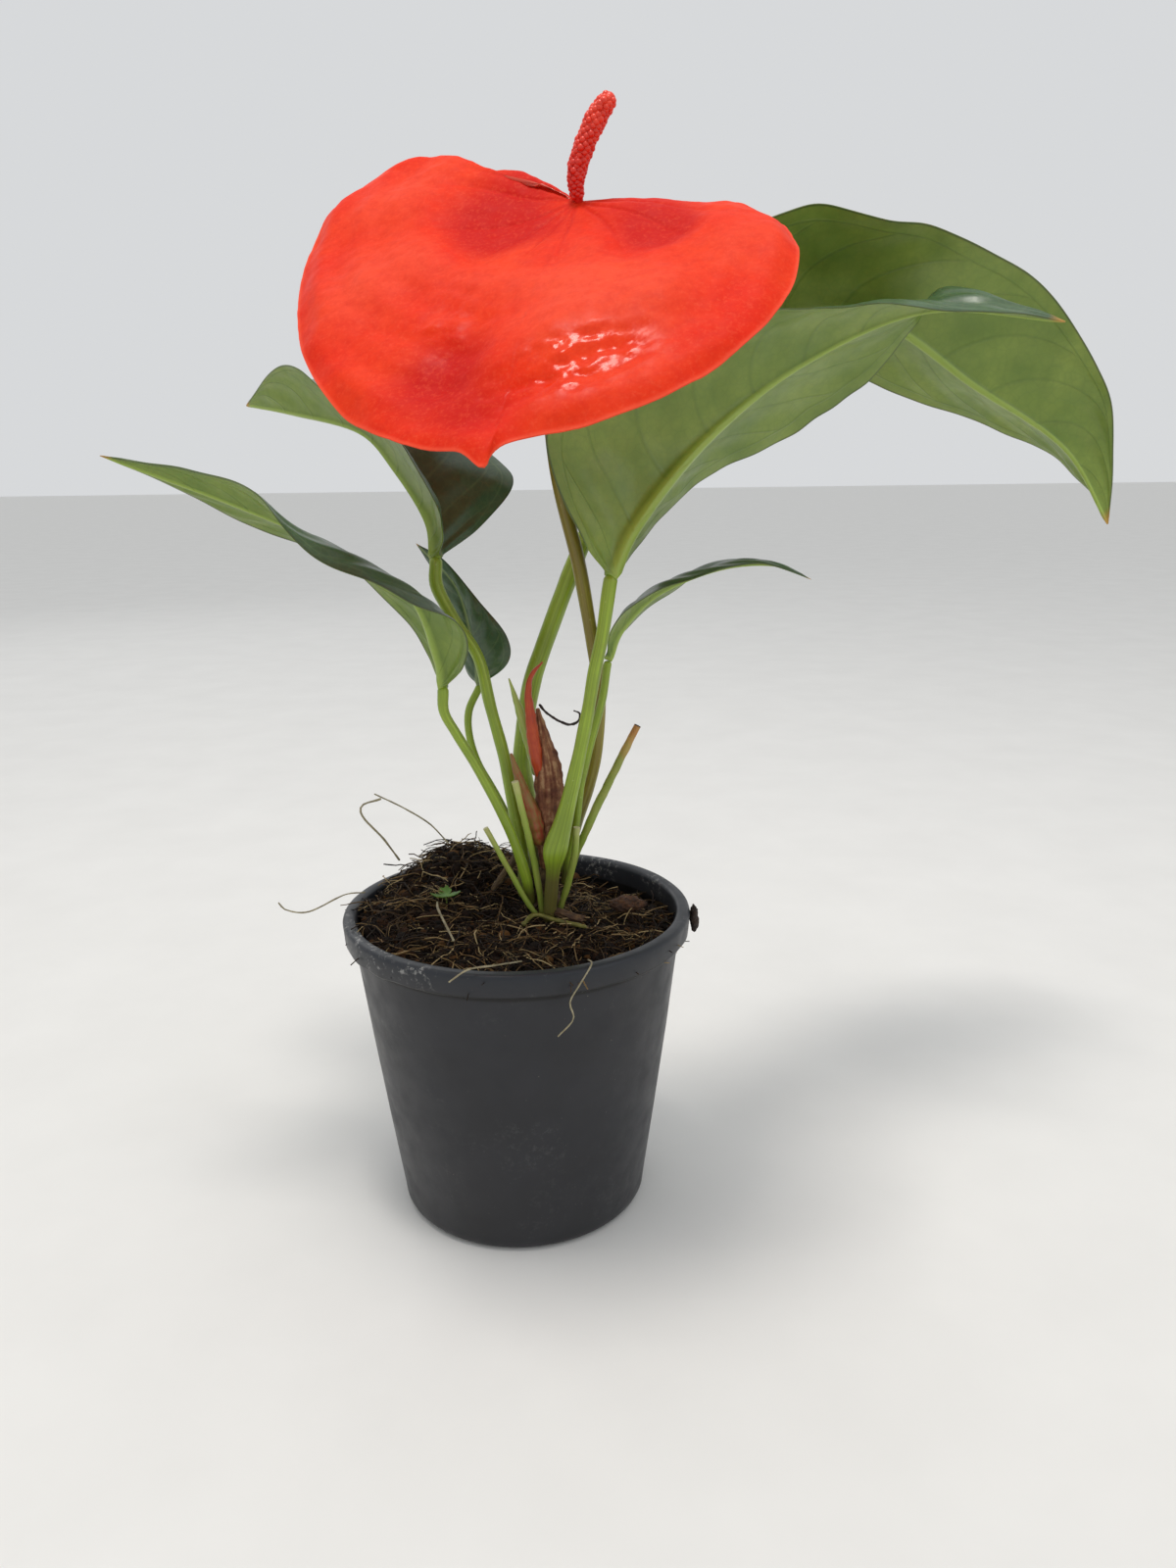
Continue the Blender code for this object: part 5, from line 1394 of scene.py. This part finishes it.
class AnthuriumLooks(bpy.types.PropertyGroup):
    """What a user would change before making the pieces"""
    pot_colour: colour_property("Pot", "Colour of the moulded pot", "#202125")
    mix_colour: colour_property("Potting mix", "Main colour of the damp mix", "#140c07")
    fibre_colour: colour_property("Fibre", "Golden tone of coir fibres", "#7a5f38")
    leaf_upper: colour_property("Leaf upper side", "Light green of the upper sides", "#48633f")
    leaf_under: colour_property("Leaf underside", "Light green of the undersides", "#869a3c")
    stalk_colour: colour_property("Leaf stalk", "Light green of the leaf stalks", "#a0bc34")
    flower_stalk_colour: colour_property("Flower stalk", "Olive of the flower stalk", "#928c2a")
    spathe_colour: colour_property("Spathe", "Main red of the bract", "#dd2606")
    # The hollows' deep red also serves as painted shade in the bowls, and the swells' coral as painted sheen on the
    # raised parts.
    spathe_deep_red_and_shade: colour_property("Spathe hollows", "Red of its bowls and veins", "#c00c02")
    spathe_coral_and_sheen: colour_property("Spathe swells", "Coral of its raised parts", "#ea4c2e")
    spadix_colour: colour_property("Spadix", "Red of the flower spike", "#d01a0e")
    spathe_relief: bpy.props.FloatProperty(
        name="Spathe relief", description="Rise of the bract between its sunken veins",
        default=0.5 * MM, min=0.0, max=0.004, unit="LENGTH", subtype="DISTANCE")
    floret_size: bpy.props.FloatProperty(
        name="Floret size", description="Width of one bump of the spadix",
        default=2.2 * MM, min=0.0005, max=0.005, unit="LENGTH", subtype="DISTANCE")
    floret_count: bpy.props.IntProperty(
        name="Florets", description="Number of bumps on the spadix", default=190, min=50, max=600)
    crumb_amount: bpy.props.FloatProperty(
        name="Crumbs", description="Share of the usual number of loose crumbs", default=1.0, min=0.0, max=2.0)
    fibre_amount: bpy.props.FloatProperty(
        name="Fibres", description="Share of the usual number of loose fibres", default=1.0, min=0.0, max=2.0)


class ANTHURIUM_OT_pot(bpy.types.Operator):
    """Mould the pot with its turned-over rim and drain holes"""
    bl_idname = "anthurium.pot"
    bl_label = "Pot"

    def execute(self, context):
        make_pot(context.scene.anthurium_looks)
        return {"FINISHED"}


class ANTHURIUM_OT_mix(bpy.types.Operator):
    """Fill the pot with damp mix and strew it with crumbs and fibres"""
    bl_idname = "anthurium.mix"
    bl_label = "Potting mix"

    def execute(self, context):
        make_potting_mix(context.scene.anthurium_looks)
        return {"FINISHED"}


class ANTHURIUM_OT_debris(bpy.types.Operator):
    """Lay the bark chip, coir lump, clod, seedling and single strands on the mix"""
    bl_idname = "anthurium.debris"
    bl_label = "Loose stuff"

    def execute(self, context):
        make_fibres()
        make_lumps()
        make_bark()
        make_weed()
        return {"FINISHED"}


class ANTHURIUM_OT_stalks(bpy.types.Operator):
    """Grow the leaf stalks, the flower stalk and the cut stubs"""
    bl_idname = "anthurium.stalks"
    bl_label = "Stalks and stubs"

    def execute(self, context):
        make_stalks(context.scene.anthurium_looks)
        make_stubs()
        return {"FINISHED"}


class ANTHURIUM_OT_sheaths(bpy.types.Operator):
    """Make the sheaths and new growth at the foot of the plant"""
    bl_idname = "anthurium.sheaths"
    bl_label = "Sheaths and crown"

    def execute(self, context):
        make_sheaths()
        make_crown()
        return {"FINISHED"}


class ANTHURIUM_OT_leaves(bpy.types.Operator):
    """Make all six leaf blades, both sides"""
    bl_idname = "anthurium.leaves"
    bl_label = "Leaf blades"

    def execute(self, context):
        make_leaves(context.scene.anthurium_looks)
        return {"FINISHED"}


class ANTHURIUM_OT_flower(bpy.types.Operator):
    """Make the veined bract and its spike of florets"""
    bl_idname = "anthurium.flower"
    bl_label = "Spathe and spadix"

    def execute(self, context):
        looks = context.scene.anthurium_looks
        make_spathe(looks)
        make_spadix(looks)
        return {"FINISHED"}


class ANTHURIUM_OT_stage(bpy.types.Operator):
    """Set the pale floor, the soft lights and the camera"""
    bl_idname = "anthurium.stage"
    bl_label = "Studio stage"

    def execute(self, context):
        make_stage()
        return {"FINISHED"}


STEPS = (ANTHURIUM_OT_pot, ANTHURIUM_OT_mix, ANTHURIUM_OT_debris, ANTHURIUM_OT_stalks, ANTHURIUM_OT_sheaths,
         ANTHURIUM_OT_leaves, ANTHURIUM_OT_flower, ANTHURIUM_OT_stage)


class ANTHURIUM_PT_panel(bpy.types.Panel):
    """Lists the settings and the steps"""
    bl_label = "Potted anthurium"
    bl_idname = "ANTHURIUM_PT_panel"
    bl_space_type = "VIEW_3D"
    bl_region_type = "UI"
    bl_category = "Anthurium"

    def draw(self, context):
        for name in AnthuriumLooks.__annotations__:
            self.layout.prop(context.scene.anthurium_looks, name)
        for step in STEPS:
            self.layout.operator(step.bl_idname)


CLASSES = (AnthuriumLooks, *STEPS, ANTHURIUM_PT_panel)


def register():
    for made in CLASSES:
        bpy.utils.register_class(made)
    bpy.types.Scene.anthurium_looks = bpy.props.PointerProperty(type=AnthuriumLooks)


def unregister():
    del bpy.types.Scene.anthurium_looks
    for made in reversed(CLASSES):
        bpy.utils.unregister_class(made)


def main():
    register()
    for step in STEPS:
        group, action = step.bl_idname.split(".")
        getattr(getattr(bpy.ops, group), action)()


if __name__ == "__main__":
    main()
